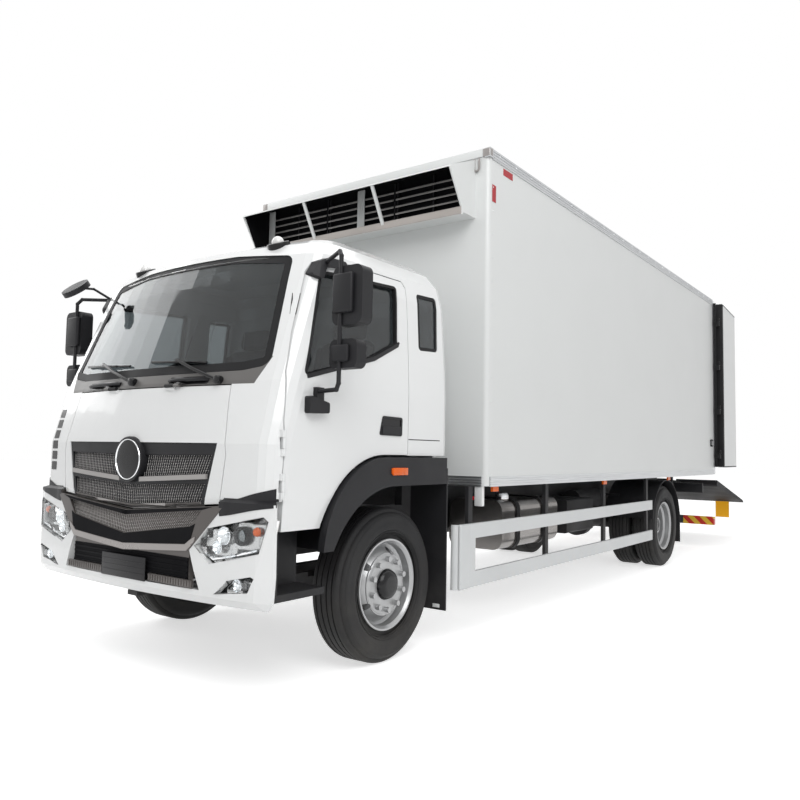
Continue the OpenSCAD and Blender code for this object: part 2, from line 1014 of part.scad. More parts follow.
// Plates at the end of the frame that carry the lift
module lift_frame() {
  color([0.1, 0.1, 0.11])
    truck()
      pair() {
        block([rail_x, lift_y - 310, rail_bottom - 30], [rail_x + 14, lift_y + 70, rail_top]);
        rod_x(30, rail_x, arm_x + 30, lift_y, lift_z);
      }
}

// Lid with its grille opening and the hinge barrels
module front_lid() {
  color([0.92, 0.92, 0.92])
    truck() {
      difference() {
        intersection() {
          cab_layer(0, 45);
          along(-1400, -1000)
            lid_outline(0);
        }
        along(-1400, -900) {
          grille_outline(0);
          translate([0, badge_z])
            circle(badge_r + pane_gap);
        }
      }
      pair()
        difference() {
          union() {
            rod_x(hinge_r, 260, 340, lid_pin[0], lid_pin[1]);
            block([260, lid_pin[0], lid_pin[1] - 24], [340, lid_pin[0] + 45, lid_pin[1] - 4]);
          }
          rod_x(hinge_pin_r + play, 265, 341, lid_pin[0], lid_pin[1]);
        }
    }
}

// Grille of the lid: frame, two rows of mesh set back in it, and the round blank badge
module lid_grille() {
  color([0.3, 0.3, 0.31])
    truck() {
      intersection() {
        cab_layer(6, 40);
        along(-1400, -1000)
          difference() {
            intersection() {
              lid_outline(0);
              grille_outline(-pane_gap);
            }
            row_outline(ROW[0], 0);
            row_outline(ROW[1], 0);
          }
      }
      intersection() {
        cab_layer(24, 32);
        along(-1400, -1000) {
          row_outline(ROW[0], 6);
          row_outline(ROW[1], 6);
        }
      }
      along(-1260, -1215)
        translate([0, badge_z])
          circle(badge_r);
    }
}

// Cab door with its window opening
module cab_door() {
  difference() {
    intersection() {
      cab_layer(0, door_t);
      across(985, 1400)
        door_outline(0);
    }
    across(850, 1400)
      window_outline(0);
    for (z = DOOR_HINGE_Z, e = [-1, 1])
      translate([door_pin[0], door_pin[1], z + (e < 0 ? -74 : 30)])
        cylinder(r = hinge_r + 5, h = 44);
  }
  for (z = DOOR_HINGE_Z)
    translate([door_pin[0], door_pin[1], z - 30])
      difference() {
        door_barrel(60, 22);
        translate([0, 0, -1])
          cylinder(r = hinge_pin_r + play, h = 62);
      }
}

module cab_door_left() {
  color([0.92, 0.92, 0.92])
    truck()
      cab_door();
}

module cab_door_right() {
  color([0.92, 0.92, 0.92])
    truck()
      mirror([1, 0, 0])
        cab_door();
}

module door_glass() {
  intersection() {
    cab_layer(25, 31);
    across(850, 1400)
      window_outline(-pane_gap);
  }
}

module door_glass_left() {
  color([0.25, 0.3, 0.32])
    truck()
      door_glass();
}

module door_glass_right() {
  color([0.25, 0.3, 0.32])
    truck()
      mirror([1, 0, 0])
        door_glass();
}

// Round bar from a to b
module bar(a, b, r) {
  d = b - a;
  translate(a)
    rotate([0, acos(d[2] / norm(d)), atan2(d[1], d[0])])
      cylinder(r = r, h = norm(d));
}

// Bends of the mirror tube from the upper bracket to the lower pad
MIRROR_TUBE = [[1112, -700, 2538], [1335, -830, 2545], [1365, -850, 2510], [1365, -850, 1775], [1345, -845, 1740],
               [1190, -835, 1735]];
tube_r = 13;

// Mirror heads on a tube between a bracket and a pad on the door
module mirrors() {
  intersection() {
    cab_layer(-28, -pane_gap);
    across(850, 1400)
      offset(r = 15)
        polygon([[-785, 2455], [-760, 2440], [-725, 2520], [-560, 2535], [-560, 2552], [-690, 2552], [-745, 2525]]);
  }
  intersection() {
    cab_layer(-45, -pane_gap);
    across(850, 1400)
      offset(r = 15)
        polygon([[-905, 1690], [-765, 1660], [-765, 1625], [-905, 1620]]);
  }
  block([1173, -850, 1670], [1205, -790, 1760]);
  for (i = [0 : len(MIRROR_TUBE) - 2])
    bar(MIRROR_TUBE[i], MIRROR_TUBE[i + 1], tube_r);
  for (i = [1 : len(MIRROR_TUBE) - 2])
    translate(MIRROR_TUBE[i])
      sphere(r = tube_r + 1.5);
  along(-845, -750)
    rounded([1300, 2110], [1520, 2450], 45);
  along(-842, -755)
    rounded([1282, 1862], [1486, 2028], 40);
}

module mirrors_left() {
  color([0.1, 0.1, 0.11])
    truck()
      mirrors();
}

// The right side also has a round mirror that looks down over the front corner
module mirrors_right() {
  color([0.1, 0.1, 0.11])
    truck()
      mirror([1, 0, 0]) {
        mirrors();
        bar([1108, -712, 2536], [1130, -860, 2600], 9);
        bar([1130, -860, 2600], [1085, -1020, 2575], 9);
        translate([1130, -860, 2600])
          sphere(r = 10.5);
        translate([1085, -1030, 2565])
          rotate([40, 0, 0])
            cylinder(r = 105, h = 40, center = true);
      }
}

// Rear door, drawn shut and turned open about its pin
module rear_door() {
  edge = box_half - 15;
  translate([rear_pin_x, rear_pin_y, 0])
    rotate(-rear_door_open)
      translate([-rear_pin_x, -rear_pin_y, 0]) {
        block([4, box_rear + 6, floor_top - 4], [edge, box_rear + 6 + rear_door_t, box_top - 30]);
        for (z = HINGE_Z)
          difference() {
            union() {
              block([edge - 1, rear_pin_y - 14, z + 1], [rear_pin_x, rear_pin_y + 14, z + 60]);
              translate([rear_pin_x, rear_pin_y, z + 1])
                cylinder(r = 16, h = 59);
            }
            translate([rear_pin_x, rear_pin_y, z])
              cylinder(r = 8 + play, h = 70);
          }
      }
}

module rear_door_left() {
  color([0.93, 0.93, 0.93])
    truck()
      rear_door();
}

module rear_door_right() {
  color([0.93, 0.93, 0.93])
    truck()
      mirror([1, 0, 0])
        rear_door();
}

// Steering knuckle: fork, kingpin, spindle and steering arm
module knuckle() {
  translate([kingpin_x, 0, 0]) {
    translate([0, 0, 415])
      cylinder(r = kingpin_r, h = 190);
    for (z = [418, 564])
      translate([0, 0, z]) {
        cylinder(r = 42, h = 38);
        block([0, -42, 0], [90, 42, 38]);
      }
    block([60, -42, 418], [90, 42, 602]);
    rod_x(spindle_r, 80, front_x + 60 - kingpin_x, 0, tyre_r);
    block([-22, 0, 422], [22, steer_arm, 452]);
    translate([0, steer_arm, 422])
      cylinder(r = 30, h = 30);
    translate([0, steer_arm, 452])
      cylinder(r = 14, h = 60);
  }
}

module knuckle_left() {
  color([0.18, 0.18, 0.19])
    truck()
      knuckle();
}

module knuckle_right() {
  color([0.18, 0.18, 0.19])
    truck()
      mirror([1, 0, 0])
        knuckle();
}

// Tie rod between the two steering arms
module tie_rod() {
  color([0.2, 0.2, 0.21])
    truck()
      difference() {
        union() {
          rod_x(20, -kingpin_x, kingpin_x, steer_arm, 482);
          pair()
            translate([kingpin_x, steer_arm, 460])
              cylinder(r = 32, h = 44);
        }
        pair()
          translate([kingpin_x, steer_arm, 400])
            cylinder(r = 14 + play, h = 200);
      }
}

// Rim barrel: radius and distance from the middle plane of the tyre
module rim_barrel() {
  polygon([[rim_r, 116], [rim_r, 102], [rim_r - 14, 96], [rim_r - 18, 40], [well_r, 20], [well_r, -40],
           [rim_r - 18, -60], [rim_r - 14, -96], [rim_r, -102], [rim_r, -116], [rim_r - 12, -116], [rim_r - 26, -98],
           [rim_r - 30, -66], [well_r - 12, -46], [well_r - 12, 26], [rim_r - 30, 46], [rim_r - 26, 98],
           [rim_r - 12, 116]]);
}

// Front wheel: barrel, bowed disc, hub, nuts and brake drum, outside towards +Z
module front_rim() {
  difference() {
    union() {
      rotate_extrude($fn = 96) {
        rim_barrel();
        polygon([[60, 104], [178, 104], [196, 98], [well_r, 24], [well_r, 6], [well_r - 12, 6], [188, 84], [60, 88]]);
      }
      translate([0, 0, -40])
        cylinder(r = 82, h = 175);
      difference() {
        translate([0, 0, -95])
          cylinder(r = 205, h = 190);
        translate([0, 0, -96])
          cylinder(r = 190, h = 176);
      }
      for (a = [0 : 360 / nuts : 359])
        rotate(a)
          translate([167, 0, 100])
            cylinder(r = 18, h = 36);
    }
    for (a = [0 : 360 / hand_holes : 359])
      rotate(a + 18)
        translate([222, 0, 20])
          cylinder(r = 26, h = 90);
    translate([0, 0, -50])
      cylinder(r = spindle_r + play, h = 50 + 60 + 2);
  }
}

module rim_front_left() {
  color([0.72, 0.73, 0.75])
    truck()
      translate([front_x, 0, tyre_r])
        rotate([0, 90, 0])
          front_rim();
}

module rim_front_right() {
  color([0.72, 0.73, 0.75])
    truck()
      mirror([1, 0, 0])
        translate([front_x, 0, tyre_r])
          rotate([0, 90, 0])
            front_rim();
}

// Dished disc of a rear wheel, its flat towards -Z at the distance of the twin wheels' middle
module rear_disc() {
  d = twin_pitch / 2;
  polygon([[60, -d + 2], [178, -d + 2], [200, -d + 10], [well_r, -70], [well_r, -40], [well_r - 12, -40],
           [190, -d + 30], [178, -d + 20], [60, -d + 20]]);
}

// Twin rear wheels with hub, nuts and drum, outside towards +Z, middle of the pair at 0
module rear_rims() {
  d = twin_pitch / 2;
  difference() {
    union() {
      for (s = [0, 1])
        mirror([0, 0, s])
          translate([0, 0, d])
            rotate_extrude($fn = 96) {
              rim_barrel();
              rear_disc();
            }
      translate([0, 0, -60])
        cylinder(r = 95, h = 250);
      cylinder(r = 176, h = 4, center = true);
      difference() {
        translate([0, 0, -240])
          cylinder(r = 205, h = 240);
        translate([0, 0, -241])
          cylinder(r = 190, h = 221);
      }
      for (a = [0 : 360 / nuts : 359])
        rotate(a)
          translate([150, 0, 18])
            cylinder(r = 18, h = 40);
    }
    for (a = [0 : 360 / hand_holes : 359])
      rotate(a)
        translate([222, 0, 0])
          cylinder(r = 26, h = 500, center = true);
    translate([0, 0, -61])
      cylinder(r = spindle_r + play, h = 61 + 132);
  }
}

module rims_rear_left() {
  color([0.72, 0.73, 0.75])
    truck()
      translate([rear_mid_x, wheelbase, tyre_r])
        rotate([0, 90, 0])
          rear_rims();
}

module rims_rear_right() {
  color([0.72, 0.73, 0.75])
    truck()
      mirror([1, 0, 0])
        translate([rear_mid_x, wheelbase, tyre_r])
          rotate([0, 90, 0])
            rear_rims();
}

// Tyre section with round shoulders, standing on the rim
module tyre() {
  h = tyre_w / 2;
  rotate_extrude($fn = 96)
    difference() {
      union() {
        translate([bead_r, -94])
          square([tyre_r - bead_r - 30, 188]);
        translate([345, -h + 40])
          square([tyre_r - 345 - 40, tyre_w - 80]);
        translate([380, -h])
          square([60, tyre_w]);
        translate([380, -h + 60])
          square([tyre_r - 380, tyre_w - 120]);
        for (z = [-1, 1]) {
          translate([380, z * (h - 40)])
            circle(40);
          translate([440, z * (h - 40)])
            circle(40);
          translate([tyre_r - 30, z * (h - 60)])
            circle(30);
        }
        translate([340, -h + 24])
          square([tyre_r - 340 - 36, tyre_w - 48]);
      }
      for (z = [-64, -22, 22, 64])
        translate([tyre_r - 12, z - 5])
          square([20, 10]);
    }
}

module tyre_front_left() {
  color([0.05, 0.05, 0.05])
    truck()
      translate([front_x, 0, tyre_r])
        rotate([0, 90, 0])
          tyre();
}

module tyre_front_right() {
  color([0.05, 0.05, 0.05])
    truck()
      translate([-front_x, 0, tyre_r])
        rotate([0, 90, 0])
          tyre();
}

module tyres_rear_left() {
  color([0.05, 0.05, 0.05])
    truck()
      for (x = [rear_outer_x, rear_inner_x])
        translate([x, wheelbase, tyre_r])
          rotate([0, 90, 0])
            tyre();
}

module tyres_rear_right() {
  color([0.05, 0.05, 0.05])
    truck()
      for (x = [-rear_outer_x, -rear_inner_x])
        translate([x, wheelbase, tyre_r])
          rotate([0, 90, 0])
            tyre();
}

// Places a lift piece drawn level about the shaft
module at_shaft(turn) {
  translate([0, hinge_y, hinge_z])
    rotate([turn, 0, 0])
      children();
}

// Lift arms between the frame pins and the shaft
module lift_arms() {
  color([0.12, 0.12, 0.13])
    truck()
      at_shaft(lift_rest)
        pair()
          difference() {
            across(arm_x - 25, arm_x + 25) {
              translate([-lift_arm, -40])
                square([lift_arm, 80]);
              circle(52);
              translate([-lift_arm, 0])
                circle(62);
            }
            rod_x(28 + play, arm_x - 30, arm_x + 30, 0, 0);
            rod_x(30 + play, arm_x - 30, arm_x + 30, -lift_arm, 0);
          }
}

// Shaft that carries the platform
module lift_shaft() {
  color([0.3, 0.3, 0.31])
    truck()
      at_shaft(0) {
        rod_x(28, -640, 640, 0, 0);
        pair()
          across(300, 330)
            translate([-20, -90])
              square([40, 100]);
      }
}

// Platform that tapers to its tip, with lugs round the shaft
module lift_platform() {
  color([0.3, 0.31, 0.33])
    truck()
      at_shaft(-platform_slope) {
        difference() {
          across(-platform_half, platform_half)
            polygon([[60, platform_top], [60, 10], [100, -10], [500, 0], [platform_len, 50], [platform_len, 65],
                     [platform_len - 70, platform_top]]);
          pair()
            block([arm_x - 45, 0, -100], [arm_x + 45, 190, 200]);
        }
        pair()
          for (x = [390, 590])
            difference() {
              across(x, x + 30) {
                circle(46);
                translate([0, -40])
                  square([130, 80]);
              }
              rod_x(28 + play, x - 5, x + 35, 0, 0);
            }
      }
}

// Flags under the tip of the platform
module warning_flags() {
  color([0.95, 0.75, 0.05])
    truck()
      at_shaft(-platform_slope)
        pair()
          translate([0, platform_len - 40, 47.9])
            rotate([platform_slope, 0, 0])
              block([720, -3, -280], [950, 3, 0]);
}

chassis_rails();
crossmembers();
driveline();
front_axle();
rear_axle();
leaf_springs();
fuel_tank();
frame_boxes();
side_guards();
rear_mudguards();
underrun_bar();
bumper();
bumper_grille();
front_lamps();
front_arches();
cab_floor();
cab_front();
cab_sides();
cab_back();
cab_roof();
cowl();
cab_glass();
dashboard();
seats();
box_floor();
box_walls();
box_roof();
box_front();
rear_frame();
box_rails();
vent_hood();
vent_louvres();
marker_lamps();
lift_frame();
front_lid();
lid_grille();
cab_door_left();
cab_door_right();
door_glass_left();
door_glass_right();
mirrors_left();
mirrors_right();
rear_door_left();
rear_door_right();
knuckle_left();
knuckle_right();
tie_rod();
rim_front_left();
rim_front_right();
rims_rear_left();
rims_rear_right();
tyre_front_left();
tyre_front_right();
tyres_rear_left();
tyres_rear_right();
lift_arms();
lift_shaft();
lift_platform();
warning_flags();
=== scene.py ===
"""Looks of a delivery truck with a box body and a tail lift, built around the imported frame."""
import math

import bmesh
import bpy
from mathutils import Matrix, Vector
from mathutils.bvhtree import BVHTree


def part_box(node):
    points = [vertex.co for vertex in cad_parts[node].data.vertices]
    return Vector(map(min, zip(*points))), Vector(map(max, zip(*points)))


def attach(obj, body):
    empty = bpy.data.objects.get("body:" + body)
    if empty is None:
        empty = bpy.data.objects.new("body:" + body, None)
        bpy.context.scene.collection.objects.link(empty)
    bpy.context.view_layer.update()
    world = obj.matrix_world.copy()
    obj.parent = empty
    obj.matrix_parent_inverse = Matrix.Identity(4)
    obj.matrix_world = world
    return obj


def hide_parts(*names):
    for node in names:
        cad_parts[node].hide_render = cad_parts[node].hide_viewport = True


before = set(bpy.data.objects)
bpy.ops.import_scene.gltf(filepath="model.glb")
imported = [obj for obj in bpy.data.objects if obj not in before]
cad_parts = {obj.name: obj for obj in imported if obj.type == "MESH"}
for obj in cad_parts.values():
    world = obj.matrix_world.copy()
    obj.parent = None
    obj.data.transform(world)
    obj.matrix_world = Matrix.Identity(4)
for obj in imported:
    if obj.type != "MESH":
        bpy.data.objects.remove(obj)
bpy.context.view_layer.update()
scene = bpy.context.scene
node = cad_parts

axle_low, axle_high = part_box("front_axle")
AXLE_Y = (axle_low.y + axle_high.y) / 2
FRONT, LEFT, RIGHT = Vector((0, 1, 0)), Vector((-1, 0, 0)), Vector((1, 0, 0))


def at(x, y, z):
    """A point in metres from millimetres that count from the front axle."""
    return Vector((x / 1000, y / 1000 + AXLE_Y, z / 1000))


# Materials


class Nodes:
    """A node tree with short calls to add and link nodes."""

    def __init__(self, tree):
        self.tree = tree

    def add(self, kind, **values):
        made = self.tree.nodes.new("ShaderNode" + kind)
        for key, value in values.items():
            name = key.replace("_", " ")
            if name in made.inputs:
                self.feed(made.inputs[name], value)
            else:
                setattr(made, key, value)
        return made

    def feed(self, socket, value):
        if isinstance(value, bpy.types.NodeSocket):
            self.tree.links.new(value, socket)
        elif hasattr(value, "__len__") and len(value) == 3 and socket.type == "RGBA":
            socket.default_value = (*value, 1)
        else:
            socket.default_value = value

    def math(self, operation, a, b=0.0):
        made = self.add("Math", operation=operation)
        self.feed(made.inputs[0], a)
        self.feed(made.inputs[1], b)
        return made.outputs[0]

    def remap(self, value, low, high, to_low, to_high):
        made = self.add("MapRange", Value=value, clamp=True)
        for index, number in enumerate((low, high, to_low, to_high), start=1):
            self.feed(made.inputs[index], number)
        return made.outputs[0]

    def mix(self, factor, a, b):
        made = self.add("Mix", data_type="RGBA")
        self.feed(made.inputs[0], factor)
        self.feed(made.inputs[6], a)
        self.feed(made.inputs[7], b)
        return made.outputs[2]


def effect(name, inputs, outputs):
    """An empty shader node group with the given sockets."""
    tree = bpy.data.node_groups.new(name, "ShaderNodeTree")
    for label, kind, start in inputs:
        socket = tree.interface.new_socket(label, in_out="INPUT", socket_type="NodeSocket" + kind)
        socket.default_value = start
    for label, kind in outputs:
        tree.interface.new_socket(label, in_out="OUTPUT", socket_type="NodeSocket" + kind)
    given = tree.nodes.new("NodeGroupInput").outputs
    out = tree.nodes.new("NodeGroupOutput").inputs
    return tree, Nodes(tree), given, out


def coordinates(n):
    return n.tree.nodes.new("ShaderNodeTexCoord").outputs["Object"]


def make_grain():
    """Fine relief and uneven gloss."""
    tree, n, given, out = effect(
        "fine_grain",
        [("Scale", "Float", 200.0), ("Depth", "Float", 0.1), ("Gloss", "Float", 0.2), ("Dull", "Float", 0.4)],
        [("Roughness", "Float"), ("Normal", "Vector")],
    )
    place = coordinates(n)
    small = n.add("TexNoise", Vector=place, Scale=given["Scale"], Detail=3.0)
    wide = n.add("TexNoise", Vector=place, Scale=3.0, Detail=5.0)
    spread = n.remap(wide.outputs[0], 0.3, 0.7, given["Gloss"], given["Dull"])
    bump = n.add("Bump", Strength=given["Depth"], Distance=0.002, Height=small.outputs[0])
    n.feed(out["Roughness"], spread)
    n.feed(out["Normal"], bump.outputs[0])
    return tree


def make_dust():
    """Road dust that thins out with height."""
    tree, n, given, out = effect(
        "road_dust",
        [("Clean", "Color", (1, 1, 1, 1)), ("Dust", "Color", (0.3, 0.28, 0.25, 1)), ("Top", "Float", 1.0),
         ("Amount", "Float", 0.3)],
        [("Color", "Color")],
    )
    place = coordinates(n)
    height = n.add("SeparateXYZ", Vector=place).outputs[2]
    cloud = n.add("TexNoise", Vector=place, Scale=6.0, Detail=6.0).outputs[0]
    fall = n.remap(height, 0.0, given["Top"], 1.0, 0.0)
    patch = n.remap(cloud, 0.35, 0.7, 0.2, 1.0)
    share = n.math("MULTIPLY", n.math("MULTIPLY", fall, patch), given["Amount"])
    n.feed(out["Color"], n.mix(share, given["Clean"], given["Dust"]))
    return tree


def make_streaks():
    """Brush lines of drawn metal along one axis."""
    tree, n, given, out = effect(
        "brush_lines",
        [("Light", "Color", (0.7, 0.7, 0.7, 1)), ("Dark", "Color", (0.5, 0.5, 0.5, 1)),
         ("Stretch", "Vector", (400.0, 2.0, 400.0))],
        [("Color", "Color"), ("Normal", "Vector")],
    )
    mapping = n.add("Mapping", Vector=coordinates(n), Scale=given["Stretch"])
    lines = n.add("TexNoise", Vector=mapping.outputs[0], Scale=1.0, Detail=4.0).outputs[0]
    n.feed(out["Color"], n.mix(n.remap(lines, 0.35, 0.65, 0.0, 1.0), given["Light"], given["Dark"]))
    n.feed(out["Normal"], n.add("Bump", Strength=0.05, Distance=0.001, Height=lines).outputs[0])
    return tree


GRAIN, DUST, STREAKS = make_grain(), make_dust(), make_streaks()


def placed(n, tree, **values):
    made = n.tree.nodes.new("ShaderNodeGroup")
    made.node_tree = tree
    for key, value in values.items():
        n.feed(made.inputs[key], value)
    return made.outputs


def blank(name):
    """A material with an empty Principled shader, as (material, nodes, shader)."""
    made = bpy.data.materials.new(name)
    made.use_nodes = True
    n = Nodes(made.node_tree)
    return made, n, made.node_tree.nodes["Principled BSDF"]


def finish(name, colour, grain=(250.0, 0.05, 0.25, 0.4), dust=(0.0, 1.0), vary=0.07, **shader):
    """A solid finish: colour, grain (scale, depth, gloss, dull), dust (amount, top), clouds, shader values."""
    made, n, bsdf = blank(name)
    scale, depth, gloss, dull = grain
    grains = placed(n, GRAIN, Scale=scale, Depth=depth, Gloss=gloss, Dull=dull)
    n.feed(bsdf.inputs["Roughness"], grains["Roughness"])
    n.feed(bsdf.inputs["Normal"], grains["Normal"])
    amount, top = dust
    dark = tuple(c * (1 - vary) for c in colour)
    cloud = n.add("TexNoise", Vector=coordinates(n), Scale=1.7, Detail=4.0).outputs[0]
    shade = n.mix(n.remap(cloud, 0.35, 0.65, 0.0, 1.0), colour, dark)
    n.feed(bsdf.inputs["Base Color"], placed(n, DUST, Clean=shade, Top=top, Amount=amount)["Color"])
    for key, value in shader.items():
        n.feed(bsdf.inputs[key.replace("_", " ")], value)
    return made


def drawn_metal(name, light, dark, stretch, rough):
    """Drawn metal with brush lines."""
    made, n, bsdf = blank(name)
    lines = placed(n, STREAKS, Light=light, Dark=dark, Stretch=stretch)
    n.feed(bsdf.inputs["Base Color"], placed(n, DUST, Clean=lines["Color"], Top=1.2, Amount=0.15)["Color"])
    n.feed(bsdf.inputs["Normal"], lines["Normal"])
    bsdf.inputs["Metallic"].default_value = 1.0
    bsdf.inputs["Roughness"].default_value = rough
    return made


def see_through(name, colour, rough=0.02, ior=1.45):
    made, n, bsdf = blank(name)
    bsdf.inputs["Base Color"].default_value = (*colour, 1)
    bsdf.inputs["Transmission Weight"].default_value = 1.0
    bsdf.inputs["IOR"].default_value = ior
    grains = placed(n, GRAIN, Scale=3.0, Depth=0.004, Gloss=rough, Dull=rough + 0.02)
    n.feed(bsdf.inputs["Roughness"], grains["Roughness"])
    return made


def striped(name, one, two, width, slope, start):
    """Slanting stripes across X and Z on the ends beyond start, black between them."""
    made, n, bsdf = blank(name)
    x, _, z = n.add("SeparateXYZ", Vector=coordinates(n)).outputs
    run = n.math("FRACT", n.math("DIVIDE", n.math("ADD", x, n.math("MULTIPLY", z, slope)), width))
    ends = n.math("GREATER_THAN", n.math("ABSOLUTE", x), start)
    stripes = n.mix(n.math("GREATER_THAN", run, 0.5), one, two)
    n.feed(bsdf.inputs["Base Color"], n.mix(ends, (0.018, 0.018, 0.020), stripes))
    grains = placed(n, GRAIN, Scale=300.0, Depth=0.05, Gloss=0.3, Dull=0.5)
    n.feed(bsdf.inputs["Roughness"], grains["Roughness"])
    return made


def woven(name, colour, pitch):
    """Plain weave cloth."""
    made, n, bsdf = blank(name)
    x, y, z = n.add("SeparateXYZ", Vector=coordinates(n)).outputs
    turn = 2 * math.pi / pitch
    warp = n.math("SINE", n.math("MULTIPLY", n.math("ADD", x, y), turn))
    weft = n.math("SINE", n.math("MULTIPLY", n.math("ADD", z, n.math("MULTIPLY", y, 0.5)), turn))
    threads = n.math("MULTIPLY", warp, weft)
    pale = tuple(min(1, c * 1.5) for c in colour)
    n.feed(bsdf.inputs["Base Color"], n.mix(n.remap(threads, -1.0, 1.0, 0.0, 1.0), colour, pale))
    n.feed(bsdf.inputs["Normal"], n.add("Bump", Strength=0.3, Distance=0.002, Height=threads).outputs[0])
    bsdf.inputs["Roughness"].default_value = 0.9
    bsdf.inputs["Sheen Weight"].default_value = 0.3
    return made


ALONG_Y, ALONG_Z = (300.0, 3.0, 300.0), (300.0, 300.0, 3.0)
cab_white = finish("cab_white", (0.80, 0.81, 0.81), (60.0, 0.002, 0.2, 0.24), (0.2, 0.7), 0.012,
                   Coat_Weight=0.6, Coat_Roughness=0.05)
panel_white = finish("panel_white", (0.72, 0.735, 0.73), (40.0, 0.003, 0.3, 0.34), (0.0, 1.0), 0.012,
                     Coat_Weight=0.2, Coat_Roughness=0.12)
rail_metal = drawn_metal("rail_metal", (0.62, 0.63, 0.64), (0.50, 0.51, 0.52), ALONG_Y, 0.34)
guard_silver = finish("guard_silver", (0.60, 0.615, 0.62), (250.0, 0.02, 0.32, 0.42), (0.05, 1.0), 0.03,
                      Metallic=0.25)
warm_grey = finish("warm_grey", (0.44, 0.405, 0.38), (200.0, 0.02, 0.35, 0.5), (0.0, 1.0), 0.1)
frame_steel = drawn_metal("frame_steel", (0.68, 0.69, 0.70), (0.52, 0.53, 0.54), ALONG_Z, 0.3)
chassis_black = finish("chassis_black", (0.016, 0.016, 0.018), (120.0, 0.1, 0.45, 0.65), (0.16, 1.1),
                       Specular_IOR_Level=0.25)
# Painted reflection: the polished tank shows dark surroundings, and that darkness is put into its colour
tank_dark_reflection = drawn_metal("tank_dark_reflection", (0.30, 0.285, 0.275), (0.20, 0.19, 0.185), ALONG_Y, 0.26)
engine_iron = finish("engine_iron", (0.06, 0.06, 0.062), (80.0, 0.3, 0.5, 0.75), (0.25, 1.2), Metallic=0.3)
platform_metal = finish("platform_metal", (0.02, 0.02, 0.022), (90.0, 0.25, 0.6, 0.75), (0.06, 1.2),
                        Specular_IOR_Level=0.2)
# Painted glow: the emission lights up the flag cloth, which is no lamp, so that it looks bright where it hangs
# in shade
flag_yellow = finish("flag_yellow", (0.95, 0.50, 0.01), (150.0, 0.1, 0.35, 0.5), (0.05, 1.0),
                     Emission_Color=(0.95, 0.42, 0.01), Emission_Strength=0.3)
underrun_red = striped("underrun_red", (0.62, 0.03, 0.02), (0.85, 0.55, 0.05), 0.18, 1.0, 0.80)
shield_grey = finish("shield_grey", (0.105, 0.095, 0.09), (300.0, 0.02, 0.28, 0.38), (0.05, 0.9),
                     Metallic=0.4)
lip_grey = finish("lip_grey", (0.33, 0.31, 0.30), (300.0, 0.02, 0.26, 0.36), (0.05, 0.9), Metallic=0.5)
silver_edge = finish("silver_edge", (0.62, 0.61, 0.60), (300.0, 0.02, 0.2, 0.3), (0.1, 0.9), Metallic=0.9)
mesh_grey = finish("mesh_grey", (0.36, 0.345, 0.335), (300.0, 0.04, 0.35, 0.45), (0.05, 1.2), Metallic=0.2)
mesh_silver = finish("mesh_silver", (0.66, 0.64, 0.625), (300.0, 0.04, 0.35, 0.45), (0.0, 1.2), Metallic=0.1)
trim_black = finish("trim_black", (0.015, 0.015, 0.017), (420.0, 0.18, 0.42, 0.58), (0.10, 0.9),
                    Specular_IOR_Level=0.25)
gloss_black = finish("gloss_black", (0.008, 0.008, 0.009), (100.0, 0.01, 0.14, 0.22), (0.0, 1.0),
                     Specular_IOR_Level=0.3)
gasket_black = finish("gasket_black", (0.012, 0.012, 0.013), (200.0, 0.08, 0.5, 0.7), (0.05, 1.0),
                      Specular_IOR_Level=0.2)
pit_black = finish("pit_black", (0.005, 0.005, 0.006), (200.0, 0.05, 0.7, 0.85), Specular_IOR_Level=0.1)
cabin_grey = finish("cabin_grey", (0.06, 0.06, 0.064), (350.0, 0.2, 0.5, 0.7))
seat_cloth = woven("seat_cloth", (0.10, 0.10, 0.115), 0.006)
rim_silver = finish("rim_silver", (0.42, 0.425, 0.43), (220.0, 0.05, 0.28, 0.4), (0.15, 0.8), Metallic=0.6)
tyre_rubber = finish("tyre_rubber", (0.014, 0.014, 0.015), (160.0, 0.12, 0.55, 0.75), (0.14, 0.9),
                     Specular_IOR_Level=0.3)
chrome = finish("chrome", (0.82, 0.83, 0.84), (200.0, 0.01, 0.05, 0.1), Metallic=1.0)
glass = see_through("glass", (0.30, 0.33, 0.34))
lamp_clear = see_through("lamp_clear", (0.95, 0.97, 0.98), 0.015, 1.4)
lamp_amber = finish("lamp_amber", (0.80, 0.13, 0.008), (200.0, 0.1, 0.15, 0.25), Specular_IOR_Level=0.35)
lamp_white = finish("lamp_white", (0.80, 0.80, 0.79), (200.0, 0.01, 0.08, 0.14), Coat_Weight=0.6)
cowl_grey = finish("cowl_grey", (0.125, 0.12, 0.115), (300.0, 0.05, 0.35, 0.5), (0.0, 1.0))
lamp_red = finish("lamp_red", (0.42, 0.006, 0.014), (200.0, 0.1, 0.15, 0.25), Specular_IOR_Level=0.3)

